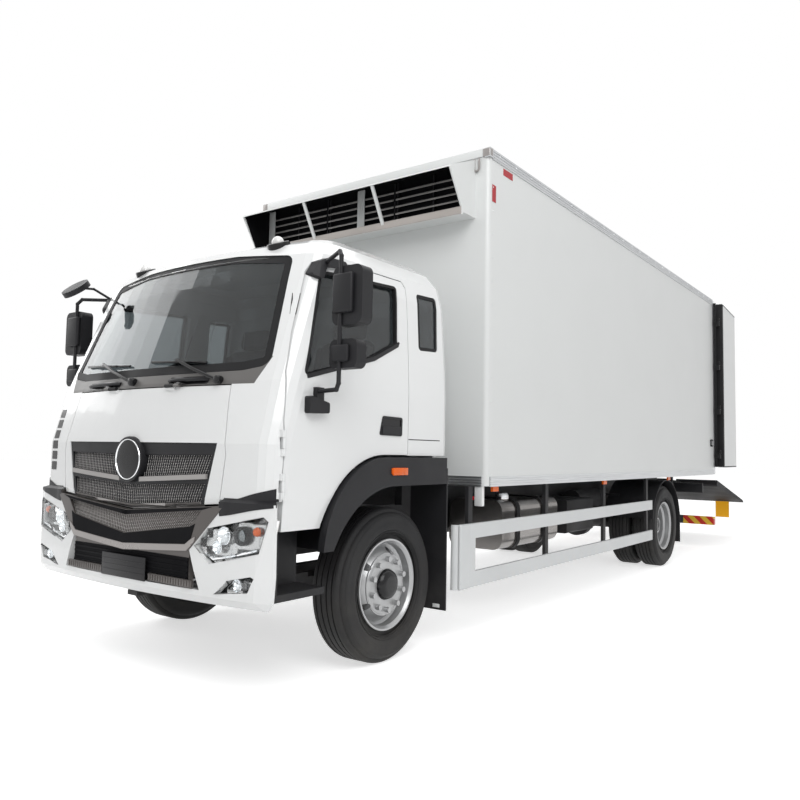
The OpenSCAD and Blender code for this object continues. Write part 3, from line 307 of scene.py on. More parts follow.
FINISH = {
    cab_white: "bumper cab_front cab_sides cab_back cab_roof front_lid cab_door_left cab_door_right",
    panel_white: "box_walls box_roof box_front vent_hood rear_door_left rear_door_right",
    rail_metal: "box_rails box_floor",
    guard_silver: "side_guards",
    tank_dark_reflection: "fuel_tank",
    frame_steel: "rear_frame",
    chassis_black: "chassis_rails crossmembers front_axle rear_axle leaf_springs frame_boxes lift_frame "
                   "lift_arms lift_shaft knuckle_left knuckle_right tie_rod",
    engine_iron: "driveline",
    platform_metal: "lift_platform",
    flag_yellow: "warning_flags",
    underrun_red: "underrun_bar",
    shield_grey: "bumper_grille",
    lamp_clear: "front_lamps",
    lamp_amber: "marker_lamps",
    # vent_louvres are black as painted shade: the metal slats sit in the shadow of the vent hood
    trim_black: "front_arches rear_mudguards mirrors_left mirrors_right lid_grille vent_louvres",
    cabin_grey: "dashboard cab_floor",
    cowl_grey: "cowl",
    seat_cloth: "seats",
    glass: "cab_glass door_glass_left door_glass_right",
    rim_silver: "rim_front_left rim_front_right rims_rear_left rims_rear_right",
    tyre_rubber: "tyre_front_left tyre_front_right tyres_rear_left tyres_rear_right",
}
for look, names in FINISH.items():
    for name in names.split():
        node[name].data.materials.clear()
        node[name].data.materials.append(look)

# Mesh tools

STAND_OFF = 1700  # mm from the middle at which a sheet starts before it is laid on a surface
AHEAD = (0, -1, 0)


def piece(name, bm, body, slot, *looks, crease=35):
    """Turns a bmesh into a named piece that rides on a body."""
    bmesh.ops.remove_doubles(bm, verts=bm.verts, dist=1e-5)
    bmesh.ops.recalc_face_normals(bm, faces=bm.faces)
    mesh = bpy.data.meshes.new(name)
    bm.to_mesh(mesh)
    bm.free()
    for look in looks:
        mesh.materials.append(look)
    mesh.shade_smooth()
    mesh.set_sharp_from_angle(angle=math.radians(crease))
    made = bpy.data.objects.new(name, mesh)
    scene.collection.objects.link(made)
    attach(made, body)
    return made


def skin(*names):
    """Search tree over the faces of CAD nodes at rest."""
    points, faces = [], []
    for name in names:
        mesh = node[name].data
        first = len(points)
        points += [v.co.copy() for v in mesh.vertices]
        faces += [[first + i for i in p.vertices] for p in mesh.polygons]
    return BVHTree.FromPolygons(points, faces)


def slab(bm, a, b, edge=0.0, segments=2):
    """Block between two corners with its edges rounded."""
    a, b = Vector(a), Vector(b)
    size = b - a
    place = Matrix.Translation((a + b) / 2) @ Matrix.Diagonal((*size, 1))
    verts = bmesh.ops.create_cube(bm, size=1, matrix=place)["verts"]
    if edge:
        edges = list({e for v in verts for e in v.link_edges})
        bmesh.ops.bevel(bm, geom=edges, offset=edge, affect="EDGES", segments=segments, profile=0.5,
                        material=-1)


def turned_to(way):
    """Rotation that brings +Z to a direction."""
    return Vector((0, 0, 1)).rotation_difference(Vector(way)).to_matrix().to_4x4()


def disc(bm, centre, way, radius, depth, edge=0.0, sides=32):
    """Cylinder that starts at a centre and runs along a direction, its rim rounded."""
    way = Vector(way).normalized()
    place = Matrix.Translation(Vector(centre) + way * depth / 2) @ turned_to(way)
    verts = bmesh.ops.create_cone(bm, cap_ends=True, segments=sides, radius1=radius, radius2=radius,
                                  depth=depth, matrix=place)["verts"]
    if edge:
        rims = [e for e in {e for v in verts for e in v.link_edges}
                if any(len(f.verts) > 4 for f in e.link_faces)]
        bmesh.ops.bevel(bm, geom=rims, offset=edge, affect="EDGES", segments=2, profile=0.5, material=-1)


def turned(bm, profile, centre, way, steps=48):
    """Profile of (radius, height) points spun about an axis."""
    verts = [bm.verts.new((r, 0, h)) for r, h in profile]
    edges = [bm.edges.new(pair) for pair in zip(verts, verts[1:])]
    before = set(bm.verts) - set(verts)
    bmesh.ops.spin(bm, geom=verts + edges, cent=(0, 0, 0), axis=(0, 0, 1), angle=2 * math.pi, steps=steps,
                   use_merge=True)
    new = [v for v in bm.verts if v not in before]
    bmesh.ops.transform(bm, verts=new, matrix=Matrix.Translation(Vector(centre)) @ turned_to(way))


def spun(name, profile, centre, way, steps, body, slot, look):
    """Piece of one spun profile."""
    bm = bmesh.new()
    turned(bm, profile, centre, way, steps)
    piece(name, bm, body, slot, look)


def tube(bm, path, radius, sides=12):
    """Round bar along a path of points."""
    path = [Vector(p) for p in path]
    rings = []
    for i, p in enumerate(path):
        way = (path[min(i + 1, len(path) - 1)] - path[max(i - 1, 0)]).normalized()
        verts = bmesh.ops.create_circle(bm, cap_ends=False, segments=sides, radius=radius,
                                        matrix=Matrix.Translation(p) @ turned_to(way))["verts"]
        rings.append(list({e for v in verts for e in v.link_edges}))
    for one, two in zip(rings, rings[1:]):
        bmesh.ops.bridge_loops(bm, edges=one + two)
    for end in (rings[0], rings[-1]):
        bmesh.ops.contextual_create(bm, geom=end)


def side_slab(bm, side, xs, ys, zs, edge=0.0, segments=2):
    """Block on one side, from runs of x, y and z in mm as they are on the left."""
    x0, x1 = sorted(side * x for x in xs)
    slab(bm, at(x0, ys[0], zs[0]), at(x1, ys[1], zs[1]), edge, segments)


def block(name, side, xs, ys, zs, edge, slot, look, segments=2):
    """Fixed piece of one block on one side."""
    bm = bmesh.new()
    side_slab(bm, side, xs, ys, zs, edge, segments)
    piece(name, bm, "truck", slot, look)


def facing(view, u, v):
    """Point of a sheet that stands off the truck, seen along a view (mm)."""
    return at(u, -STAND_OFF, v) if view == FRONT else at(-STAND_OFF * view.x, u, v)


def cut_cells(bm, view, cell):
    """Cuts a standing sheet into cells of about a size (mm), so that it can follow a surface."""
    for axis in (Vector((1, 0, 0)) if view == FRONT else Vector((0, 1, 0)), Vector((0, 0, 1))):
        along = [v.co.dot(axis) for v in bm.verts]
        count = int((max(along) - min(along)) / cell * 1000)
        for i in range(1, count + 1):
            spot = min(along) + (max(along) - min(along)) * i / (count + 1)
            geom = bm.verts[:] + bm.edges[:] + bm.faces[:]
            bmesh.ops.bisect_plane(bm, geom=geom, plane_co=axis * spot, plane_no=axis)


def flat(corners, view, round_by=0.0, cell=0.0, segments=5):
    """Flat face of (u, v) corners in mm facing a view, corners rounded and cut into cells."""
    bm = bmesh.new()
    bm.faces.new([bm.verts.new(facing(view, u, v)) for u, v in corners])
    if round_by:
        bmesh.ops.bevel(bm, geom=bm.verts[:], offset=round_by / 1000, affect="VERTICES", segments=segments,
                        profile=0.5, material=-1)
    if cell:
        cut_cells(bm, view, cell)
    return bm


def lay(bm, view, tree, lift):
    """Drops every vertex along the view onto a surface and lifts it towards the viewer by lift (mm)."""
    for v in bm.verts:
        hit = tree.ray_cast(v.co, view)[0]
        if hit is None:
            hit = tree.find_nearest(v.co + view * 0.6)[0]
            hit = v.co + view * (hit - v.co).dot(view)
        v.co = hit - view * lift / 1000


def thicken(bm, view, depth):
    """Gives a sheet a thickness (mm) away from the viewer."""
    grown = bmesh.ops.extrude_face_region(bm, geom=bm.faces[:])["geom"]
    verts = [g for g in grown if isinstance(g, bmesh.types.BMVert)]
    bmesh.ops.translate(bm, verts=verts, vec=view * depth / 1000)


def ring(bm, width):
    """Leaves only a rim of a sheet, width in mm."""
    made = bmesh.ops.inset_region(bm, faces=bm.faces[:], thickness=width / 1000, use_even_offset=True,
                                  use_boundary=True)["faces"]
    bmesh.ops.delete(bm, geom=[f for f in bm.faces if f not in set(made)], context="FACES")


def pad(corners, view, tree, lift=2.0, depth=4.0, round_by=0.0, cell=80.0, rim=0.0):
    """Sheet of a given outline laid on a surface, standing out by lift and depth mm thick."""
    bm = flat(corners, view, round_by, 0 if rim else cell)
    if rim:
        ring(bm, rim)
        cut_cells(bm, view, cell)
    lay(bm, view, tree, lift)
    thicken(bm, view, depth)
    return bm


def band(outer, inner, view, tree, lift, depth, cell=50.0):
    """Strip between two outlines with as many corners (mm), laid on a surface."""
    bm = bmesh.new()
    rows = ([], [])
    for i, corner in enumerate(outer):
        count = max(1, math.ceil(math.dist(corner, outer[i - 1]) / cell))
        for k in range(count):
            for row, line in zip(rows, (outer, inner)):
                u, v = (a + (b - a) * k / count for a, b in zip(line[i - 1], line[i]))
                row.append(bm.verts.new(facing(view, u, v)))
    for i in range(len(rows[0])):
        bm.faces.new((rows[0][i - 1], rows[0][i], rows[1][i], rows[1][i - 1]))
    lay(bm, view, tree, lift)
    thicken(bm, view, depth)
    return bm


def joined(*parts):
    """One bmesh from several."""
    whole = bmesh.new()
    for part in parts:
        mesh = bpy.data.meshes.new("part")
        part.to_mesh(mesh)
        whole.from_mesh(mesh)
        part.free()
        bpy.data.meshes.remove(mesh)
    return whole


def flipped(corners):
    return [(-u, v) for u, v in corners]


# Shared outlines in mm, the same as in the CAD source


def swollen(corners, radius, steps=4):
    """Outline grown outwards with round corners; the corners run anticlockwise and bulge outwards."""
    points = [Vector(c) for c in corners]
    grown = []
    for before, here, after in zip(points[-1:] + points[:-1], points, points[1:] + points[:1]):
        first, last = here - before, after - here
        start = math.atan2(-first.x, first.y)
        turn = (math.atan2(-last.x, last.y) - start) % (2 * math.pi)
        for i in range(steps + 1):
            angle = start + turn * i / steps
            grown.append((here.x + radius * math.cos(angle), here.y + radius * math.sin(angle)))
    return grown


SCREEN = [(-935, 1940), (-820, 1922), (-400, 1915), (400, 1915), (820, 1922), (935, 1940), (850, 2530),
          (450, 2568), (-450, 2568), (-850, 2530)]
WINDOW = [(-930, 1810), (-278, 1986), (-12, 2110), (6, 2520), (-742, 2480)]
QUARTER = [(268, 2138), (448, 2148), (464, 2492), (270, 2484)]
HEADLAMP = [(640, 838), (760, 742), (1115, 826), (1160, 1000), (1130, 1024), (735, 940)]
FOG = [(805, 580), (1050, 610), (1092, 690), (1070, 700), (905, 664)]
# Grille rows: lower edge at its end and middle, upper edge at its end and middle, half widths above and below
ROWS = [(1247, 1206, 1357, 1346, 727, 694), (1083, 1040, 1190, 1162, 678, 646),
        (944, 863, 1039, 974, 689, 603)]
FRONT_X, REAR_X, TYRE_R, WHEELBASE = 987, 1062, 510, 5800
BOX_HALF, BOX_Y, BOX_REAR, BOX_Z, BOX_TOP = 1275, 1012, 8052, 1140, 3810
BADGE_Z, BADGE_CLEAR = 1317, 0.156
SIDES = (("left", 1, LEFT), ("right", -1, RIGHT))
glass_skin = skin("cab_glass")
lid_skin = skin("lid_grille")
bumper_skin = skin("bumper", "bumper_grille", "front_lamps")
shield_skin = skin("bumper_grille")
lamp_skin = skin("front_lamps")
cowl_skin = skin("cowl")
front_skin = skin("cab_front")


def on_front(tree, x, z, out=0.0):
    """Point on a surface seen from the front, out mm in front of it."""
    hit = tree.ray_cast(facing(FRONT, x, z), FRONT)[0]
    return hit - FRONT * out / 1000


# Windscreen, wipers and cowl

seal = band(swollen(SCREEN, 67), swollen(SCREEN, 16), FRONT, glass_skin, 4, 7)
piece("screen_seal", seal, "truck", "trim_black", gasket_black)
for name, arm, blade in (("left", ((688, 1797), (294, 1939)), ((37, 1937), (545, 1912))),
                         ("right", ((-90, 1811), (-542, 1958)), ((-828, 1960), (-193, 1925)))):
    pivot, tip = (at(x, -1215, z) for x, z in arm)
    pivot.y = on_front(cowl_skin, *arm[0], 22).y
    tip.y = on_front(glass_skin, *arm[1], 30).y
    bm = bmesh.new()
    disc(bm, pivot + FRONT * 0.03, -FRONT, 0.026, 0.045, 0.006)
    middle = pivot.lerp(tip, 0.55) - FRONT * 0.022
    tube(bm, (pivot, pivot.lerp(middle, 0.3) - FRONT * 0.006, middle, tip), 0.011)
    ends = [on_front(glass_skin, x, z, 14) for x, z in blade]
    rail = [ends[0].lerp(ends[1], t / 8) for t in range(9)]
    for p in rail:
        p.y = on_front(glass_skin, p.x * 1000, p.z * 1000, 13).y
    tube(bm, rail, 0.008, 8)
    tube(bm, [p - FRONT * 0.012 for p in rail[2:7]], 0.006, 8)
    piece(f"wiper_{name}", bm, "truck", "trim_black", gloss_black)

for name, x0, x1 in (("left", 266, 603), ("right", -659, -242)):
    corners = [(x0, 1778), (x1, 1778), (x1, 1826), (x0, 1826)]
    recess = pad(corners, FRONT, cowl_skin, 2, 5, 20, 60)
    piece(f"cowl_recess_{name}", recess, "truck", "trim_black", gloss_black)
    bm = bmesh.new()
    bar = [on_front(cowl_skin, x0 + (x1 - x0) * t / 6, 1806, 20 if 0 < t < 6 else 2) for t in range(7)]
    tube(bm, bar, 0.011)
    piece(f"cowl_grip_{name}", bm, "truck", "trim_black", trim_black)

# Grille rows with their mesh, the badge place and the shield


def row_height(row, x, share):
    """Height inside a grille row: share 0 is its lower and 1 its upper edge."""
    low = row[1] + (row[0] - row[1]) * abs(x) / row[5]
    high = row[3] + (row[2] - row[3]) * abs(x) / row[4]
    return low + (high - low) * share


def mesh_row(row, tree, lift, lean, pitch=20.0):
    """Perforated plate over one grille row; its lower edge leans forward."""
    across, up = 2 * int(row[4] / pitch), max(3, int((row[3] - row[1]) / pitch))
    bm = bmesh.new()
    bmesh.ops.create_grid(bm, x_segments=across, y_segments=up, size=1)
    share = {}
    for v in bm.verts:
        t = (v.co.y + 1) / 2
        x = v.co.x * (row[5] + (row[4] - row[5]) * t - 4)
        share[v] = t
        v.co = facing(FRONT, x, row_height(row, x, 0.03 + 0.94 * t))
    bmesh.ops.inset_individual(bm, faces=bm.faces[:], thickness=0.0046, use_even_offset=True)
    inner = {v for f in bm.faces if all(v not in share for v in f.verts) for v in f.verts}
    bmesh.ops.bevel(bm, geom=list(inner), offset=0.0036, affect="VERTICES", segments=1, profile=0.5,
                    material=-1)
    bmesh.ops.delete(bm, geom=[f for f in bm.faces if len(f.verts) == 8], context="FACES")
    behind = [f for f in bm.faces if math.dist(f.calc_center_median().xz, (0, BADGE_Z / 1000)) < BADGE_CLEAR]
    bmesh.ops.delete(bm, geom=behind, context="FACES")
    places = [(v, v.co.x * 1000, v.co.z * 1000) for v in bm.verts]
    lay(bm, FRONT, tree, lift)
    for v, x, z in places:
        low, high = row_height(row, x, 0), row_height(row, x, 1)
        v.co.y -= lean / 1000 * (high - z) / (high - low)
    thicken(bm, FRONT, 2.5)
    return bm


def row_strip(row, low, high, tree, lift, depth, gap):
    """Bar along a grille row between two heights above its lower edge, left out near the middle."""
    parts = []
    for side in (1, -1):
        one, two = ((side * x, row_height(row, x, 0)) for x in (gap, row[5]))
        corners = [(one[0], one[1] + low), (two[0], two[1] + low),
                   (two[0], two[1] + high), (one[0], one[1] + high)]
        parts.append(pad(corners, FRONT, tree, lift, depth, cell=60))
    return joined(*parts)


for name, row, gap in zip(("upper", "lower"), ROWS, (104, 0)):
    piece(f"lid_mesh_{name}", mesh_row(row, lid_skin, 3, 14), "front_lid", "shield_grey", mesh_silver)
    lip = row_strip(row, -30, -1, lid_skin, 14, 16, gap)
    piece(f"lid_lip_{name}", lip, "front_lid", "shield_grey", mesh_grey)
piece("shield_mesh", mesh_row(ROWS[2], shield_skin, 3, 14), "truck", "shield_grey", mesh_silver)

badge = at(0, -1260, BADGE_Z)
rim = [(0.119, -0.004), (0.119, 0.004), (0.122, 0.009), (0.127, 0.009), (0.130, 0.004), (0.130, -0.004)]
spun("badge_ring", rim, badge, AHEAD, 64, "front_lid", "shield_grey", chrome)
case = [(0.1295, -0.002), (0.131, 0.006), (0.137, 0.007), (0.142, 0.004), (0.1435, -0.003), (0.1435, -0.044)]
spun("badge_case", case, badge, AHEAD, 64, "front_lid", "trim_black", trim_black)
face = [(0.0, 0.006), (0.05, 0.0055), (0.09, 0.004), (0.118, 0.001)]
spun("badge_face", face, badge, AHEAD, 64, "front_lid", "trim_black", gloss_black)

half_edge = [(0, 764), (586, 803), (642, 856), (652, 888), (618, 872), (570, 838), (0, 801)]
half_band = [(0, 803), (568, 841), (612, 872), (640, 960), (603, 942), (0, 861)]
half_shadow = [(0, 976), (689, 1041), (770, 1062), (0, 1003)]
for label, half, lift, look in (("silver", half_edge, 5, lip_grey), ("dark", half_band, 3, pit_black),
                                ("shadow", half_shadow, 2, pit_black)):
    sides = [pad(corners, FRONT, shield_skin, lift, lift + 4, cell=60) for corners in (half, flipped(half))]
    piece(f"shield_{label}", joined(*sides), "truck", "shield_grey", look)

# Black corner sheet from the bumper's corner up to the cab; it paints the shade of the dark gap between them

corner_skin = skin("cab_front", "bumper", "bumper_grille")
for name, side, _ in SIDES:
    axis = (side * 960, -1040)
    columns = []
    bm = bmesh.new()
    for i in range(25):
        t = i / 24
        turn = math.radians(-38 + 115 * t)
        way = Vector((side * math.sin(turn), -math.cos(turn), 0))
        low, high = 1013 + 70 * t, max(1116, 1093 + 88 * t)
        column = []
        for z in (low, 1086, 1110, high):
            start = at(*axis, z) + way * 0.6
            hit = corner_skin.ray_cast(start, -way, 0.6)[0] or corner_skin.find_nearest(start - way * 0.4)[0]
            column.append(bm.verts.new(hit + way * 0.003))
            if z == 1086:
                column.append(bm.verts.new(hit + way * 0.003 + Vector((0, 0, 0.008))))
        columns.append(column)
    for one, two in zip(columns, columns[1:]):
        for k in range(4):
            bm.faces.new((one[k], two[k], two[k + 1], one[k + 1]))
    bmesh.ops.solidify(bm, geom=bm.faces[:], thickness=0.002)
    piece(f"bumper_gap_shade_{name}", bm, "truck", "trim_black", trim_black)

# Opening under the shield: dark back, step plates and the blank plate

bm = bmesh.new()
slab(bm, at(-588, -1238, 597), at(588, -1233, 760))
for i in range(5):
    slab(bm, at(-585, -1243, 610 + i * 30), at(585, -1237, 622 + i * 30), 0.002)
piece("mouth_back", bm, "truck", "trim_black", pit_black)
bm = bmesh.new()
for x0, x1 in ((-640, -235), (235, 640)):
    slab(bm, at(x0, -1256, 596), at(x1, -1238, 640), 0.004)
    for i in range(16):
        x = x0 + 15 + i * 24.5
        slab(bm, at(x, -1259, 600), at(x + 14, -1255, 636), 0.001)
piece("mouth_steps", bm, "truck", "shield_grey", shield_grey)
bm = bmesh.new()
slab(bm, at(-225, -1268, 588), at(225, -1262, 728), 0.002)
for z in (625, 658, 690):
    slab(bm, at(-215, -1270, z), at(215, -1267, z + 5), 0.001)
for x in (-150, 150):
    slab(bm, at(x - 20, -1263, 610), at(x + 20, -1236, 700), 0.003)
piece("blank_plate", bm, "truck", "trim_black", trim_black)

# Lamps

replaced = False
for name, side, _ in SIDES:
    for label, outline, bowls in (("head", HEADLAMP, ((849, 906, 50), (804, 838, 36))),
                                  ("fog", FOG, ((960, 640, 36),))):
        corners = [(side * x, z) for x, z in outline]
        if side < 0:
            corners = corners[::-1]
        rim = pad(corners, FRONT, bumper_skin, 3, 12, rim=13, cell=60)
        piece(f"{label}lamp_rim_{name}", rim, "truck", "trim_black", gloss_black)
        lens = pad(corners, FRONT, lamp_skin, -1, 3, cell=50)
        piece(f"{label}lamp_lens_{name}", lens, "truck", "lamp_clear", lamp_clear)
        back = pad(corners, FRONT, lamp_skin, -44, 8, cell=50)
        made = piece(f"{label}lamp_back_{name}", back, "truck", "lamp_clear", silver_edge)
        if not replaced:
            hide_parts("front_lamps")
            replaced = True
        bm = pad(corners, FRONT, lamp_skin, -4, 40, rim=5, cell=60)
        for x, z, r in bowls:
            spot = on_front(lamp_skin, side * x, z, -36)
            bowl = [(0.008, 0.0), (r * 0.55e-3, 0.005), (r * 0.85e-3, 0.014), (r * 1e-3, 0.026),
                    (r * 1.06e-3, 0.024)]
            turned(bm, bowl, spot, AHEAD, 32)
            disc(bm, spot, AHEAD, 0.01, 0.016, 0.003, 16)
        piece(f"{label}lamp_bowls_{name}", bm, "truck", "lamp_clear", chrome)
    spot = on_front(lamp_skin, side * 971, 910, -38)
    tunnel = [(0.034, 0.0), (0.034, 0.022), (0.04, 0.03), (0.05, 0.03), (0.054, 0.022), (0.054, 0.0)]
    spun(f"projector_ring_{name}", tunnel, spot, AHEAD, 40, "truck", "trim_black", gloss_black)
    lens = [(0.0, 0.026), (0.014, 0.0245), (0.026, 0.019), (0.034, 0.01)]
    spun(f"projector_lens_{name}", lens, spot, AHEAD, 40, "truck", "lamp_clear", glass)
    spot = on_front(lamp_skin, side * 1069, 939, -30)
    bulb = [(0.0, 0.022), (0.012, 0.02), (0.022, 0.012), (0.026, 0.0)]
    spun(f"turn_bulb_{name}", bulb, spot, AHEAD, 24, "truck", "lamp_amber", lamp_amber)
    bm = bmesh.new()
    bends = ((700, 808), (772, 770), (880, 790), (990, 816), (1090, 842))
    tube(bm, [on_front(lamp_skin, side * x, z, -20) for x, z in bends], 0.009, 10)
    piece(f"day_strip_{name}", bm, "truck", "lamp_clear", chrome)

# Cab doors: seals, handles, corner slots and mirrors

for name, side, view in SIDES:
    door, panes = f"cab_door_{name}", skin(f"door_glass_{name}")
    door_skin = skin(door)
    seal = pad(WINDOW, view, panes, 27, 27, 30, 60, rim=20)
    piece(f"window_seal_{name}", seal, door, "trim_black", gasket_black)
    lower = [(-900, 1806), (-270, 1976), (-4, 2100), (10, 2130), (0, 2136), (-20, 2122), (-284, 2002),
             (-905, 1832)]
    piece(f"window_strip_{name}", pad(lower, view, panes, 34, 14, cell=60), door, "trim_black", trim_black)
    seal = band(swollen(QUARTER, 27), swollen(QUARTER, 4), view, glass_skin, 6, 8)
    piece(f"quarter_seal_{name}", seal, "truck", "trim_black", gasket_black)
    cup = [(-214, 1500), (30, 1497), (33, 1622), (-182, 1626)]
    cup = pad(cup, view, door_skin, 7, 12, 16, 60, rim=16)
    piece(f"handle_cup_{name}", cup, door, "trim_black", trim_black)
    bowl = [(-200, 1512), (20, 1510), (22, 1610), (-172, 1612)]
    piece(f"handle_bowl_{name}", pad(bowl, view, door_skin, 2, 6, 10, 60), door, "trim_black", gloss_black)
    flap = [(-196, 1510), (18, 1508), (20, 1560), (-188, 1561)]
    piece(f"handle_flap_{name}", pad(flap, view, door_skin, 12, 14, 8, 60), door, "trim_black", trim_black)
    seam = [(112, 1475), (560, 1475), (560, 1481), (112, 1481)]
    seam = pad(seam, view, skin("cab_sides"), 1, 3, cell=60)
    piece(f"side_seam_{name}", seam, "truck", "trim_black", gasket_black)
    slot_corners = [(-914, 2195), (-896, 2191), (-848, 2328), (-866, 2332)]
    slot = pad(slot_corners, view, front_skin, 2, 5, cell=60)
    piece(f"pillar_slot_{name}", slot, "truck", "trim_black", gloss_black)
    bm = bmesh.new()
    for xs, y, zs in (((1318, 1462), -874, (2175, 2405)), ((1312, 1436), -868, (1896, 1996))):
        side_slab(bm, side, xs, (y, -840), zs, 0.014, 3)
    piece(f"mirror_sleeves_{name}", bm, door, "trim_black", trim_black)
    bm = bmesh.new()
    for xs, y, zs in (((1318, 1502), -750, (2130, 2430)), ((1298, 1470), -755, (1880, 2012))):
        side_slab(bm, side, xs, (y, y + 4), zs, 0.002)
    piece(f"mirror_glass_{name}", bm, door, "trim_black", chrome)

parts = []
for i in range(6):
    z = 1225 + i * 74
    corners = [(-1045, z), (-965, z), (-965, z + 58), (-1045, z + 58)]
    parts.append(pad(corners, FRONT, front_skin, 2, 5, 6, 60))
piece("corner_slots", joined(*parts), "truck", "trim_black", gloss_black)

# Wheels

FRONT_CAP = ((0.0, 0.147), (0.05, 0.1465), (0.072, 0.145), (0.090, 0.134), (0.099, 0.116), (0.103, 0.105))
REAR_CAP = ((0.0, 0.038), (0.07, 0.036), (0.09, 0.03), (0.099, 0.0))
for name, side, _ in SIDES:
    way = (side, 0, 0)
    for body, x, y, cap in ((f"wheel_front_{name}", FRONT_X, 0, FRONT_CAP),
                            (f"wheel_rear_{name}", REAR_X, WHEELBASE, REAR_CAP)):
        centre = at(side * x, y, TYRE_R)
        spun(f"hub_cap_{body[6:]}", cap, centre, way, 48, body, "trim_black", gloss_black)
        bm = bmesh.new()
        for r, h in ((0.335, 0.1145), (0.352, 0.1345), (0.40, 0.1385), (0.452, 0.1375)):
            ridge = [(r - 0.004, h - 0.004), (r - 0.002, h), (r + 0.002, h), (r + 0.004, h - 0.004)]
            turned(bm, ridge, centre, way, 96)
        piece(f"sidewall_rings_{body[6:]}", bm, body, "tyre_rubber", tyre_rubber)

# Box: ridges and rivets of the rails, corner loops and stickers

bm = bmesh.new()
for side in (1, -1):
    for z in (BOX_Z + 8, BOX_Z + 28, BOX_Z + 48, BOX_TOP - 60, BOX_TOP - 38, BOX_TOP - 16):
        side_slab(bm, side, (BOX_HALF + 7, BOX_HALF + 13), (BOX_Y + 48, BOX_REAR - 102), (z, z + 8), 0.002)
for z in (BOX_Z + 8, BOX_Z + 28, BOX_Z + 48):
    slab(bm, at(-BOX_HALF + 42, BOX_Y - 13, z), at(BOX_HALF - 42, BOX_Y - 7, z + 8), 0.002)
piece("rail_ridges", bm, "truck", "rail_metal", rail_metal)
bm = bmesh.new()
for side in (1, -1):
    for i in range(14):
        spot = at(side * (BOX_HALF - 1), BOX_Y + 62, BOX_Z + 90 + i * 190)
        disc(bm, spot, (side, 0, 0), 0.006, 0.004, 0.001, 10)
    for i in range(24):
        spot = at(side * (BOX_HALF + 7), BOX_Y + 150 + i * 285, BOX_TOP - 28)
        disc(bm, spot, (side, 0, 0), 0.007, 0.008, 0.002, 10)
for i in range(12):
    disc(bm, at(-1090 + i * 198, 810, 3268), (0, -0.8, -0.6), 0.007, 0.006, 0.001, 10)
piece("rivets", bm, "truck", "rail_metal", chrome)
bm = bmesh.new()
slab(bm, at(BOX_HALF, 1058, 3392), at(BOX_HALF + 2, 1118, 3530))
slab(bm, at(BOX_HALF, 1240, 3660), at(BOX_HALF + 2, 1400, 3716))
piece("box_stickers", bm, "truck", "underrun_red", lamp_red)
bm = bmesh.new()
for side in (1, -1):
    side_slab(bm, side, (BOX_HALF - 62, BOX_HALF + 11), (BOX_Y - 11, BOX_Y + 46), (BOX_TOP - 66, BOX_TOP + 7),
              0.012, 3)
    x = side * (BOX_HALF - 110)
    loop = [(x - 22, 3740), (x - 22, 3660), (x - 12, 3640), (x + 12, 3640), (x + 22, 3660), (x + 22, 3740)]
    tube(bm, [at(u, BOX_Y - 14, v) for u, v in loop], 0.008, 10)
piece("box_corners", bm, "truck", "rail_metal", lip_grey)
bm = bmesh.new()
slab(bm, at(-BOX_HALF + 60, BOX_Y - 11, BOX_TOP - 61), at(BOX_HALF - 60, BOX_Y - 7, BOX_TOP + 5), 0.002)
piece("roof_edge", bm, "truck", "panel_white", panel_white)

# Vent: a dark lining as painted shade inside the hood, bright strips on the blade edges as painted highlights,
# posts and the lip of the hood, then the catch on the box side

HOOD_HALF = BOX_HALF - 125
BAY = (2 * HOOD_HALF - 8) / 3
# Painted shade: a black sheet lines the inside of the hood where it lies in shadow
bm = bmesh.new()
inside = [(BOX_Y - 3, 3276), (BOX_Y - 3, 3726), (648, 3568), (786, 3310), (806, 3304), (806, 3276)]
for x in (-HOOD_HALF + 15, HOOD_HALF - 15):
    bm.faces.new([bm.verts.new(at(x, y, z)) for y, z in inside])
for (y0, z0), (y1, z1) in zip(inside, inside[1:3]):
    corners = ((-HOOD_HALF + 15, y0, z0), (HOOD_HALF - 15, y0, z0),
               (HOOD_HALF - 15, y1, z1), (-HOOD_HALF + 15, y1, z1))
    bm.faces.new([bm.verts.new(at(*c)) for c in corners])
bmesh.ops.remove_doubles(bm, verts=bm.verts, dist=1e-5)
bmesh.ops.recalc_face_normals(bm, faces=bm.faces)
bmesh.ops.solidify(bm, geom=bm.faces[:], thickness=0.001)
piece("vent_shade_lining", bm, "truck", "trim_black", pit_black)
# Painted highlights: bright strips on the lower edge of each blade stand in for the glint on the metal slats
bm = bmesh.new()
for i in range(3):
    x = -HOOD_HALF + 14 + i * BAY
    for k in range(6):
        z = 3320 + 62 * k
        slab(bm, at(x, BOX_Y - 54, z - 36), at(x + BAY - 20, BOX_Y - 49, z - 21), 0.002)
piece("vent_blade_highlights", bm, "truck", "rail_metal", mesh_grey)
bm = bmesh.new()
for x in (-1088, 18):
    slab(bm, at(x - 40, BOX_Y - 62, 3278), at(x + 40, BOX_Y - 55, 3690), 0.002)
piece("vent_posts", bm, "truck", "panel_white", panel_white)
bm = bmesh.new()
slab(bm, at(-HOOD_HALF + 1, 794, 3243), at(HOOD_HALF - 1, 801, 3302), 0.002)
piece("hood_lip", bm, "truck", "panel_white", warm_grey)
bm = bmesh.new()
slab(bm, at(BOX_HALF, 7768, 1560), at(BOX_HALF + 26, 7838, 1578), 0.003)
slab(bm, at(BOX_HALF, 7768, 1640), at(BOX_HALF + 26, 7838, 1658), 0.003)
slab(bm, at(BOX_HALF, 7758, 1560), at(BOX_HALF + 10, 7772, 1658), 0.003)
tube(bm, [at(BOX_HALF + 16, 7800, 1552), at(BOX_HALF + 16, 7800, 1668)], 0.007, 10)
piece("door_catch", bm, "truck", "trim_black", trim_black)

# Sleeves on the barrels of the lid's hinge

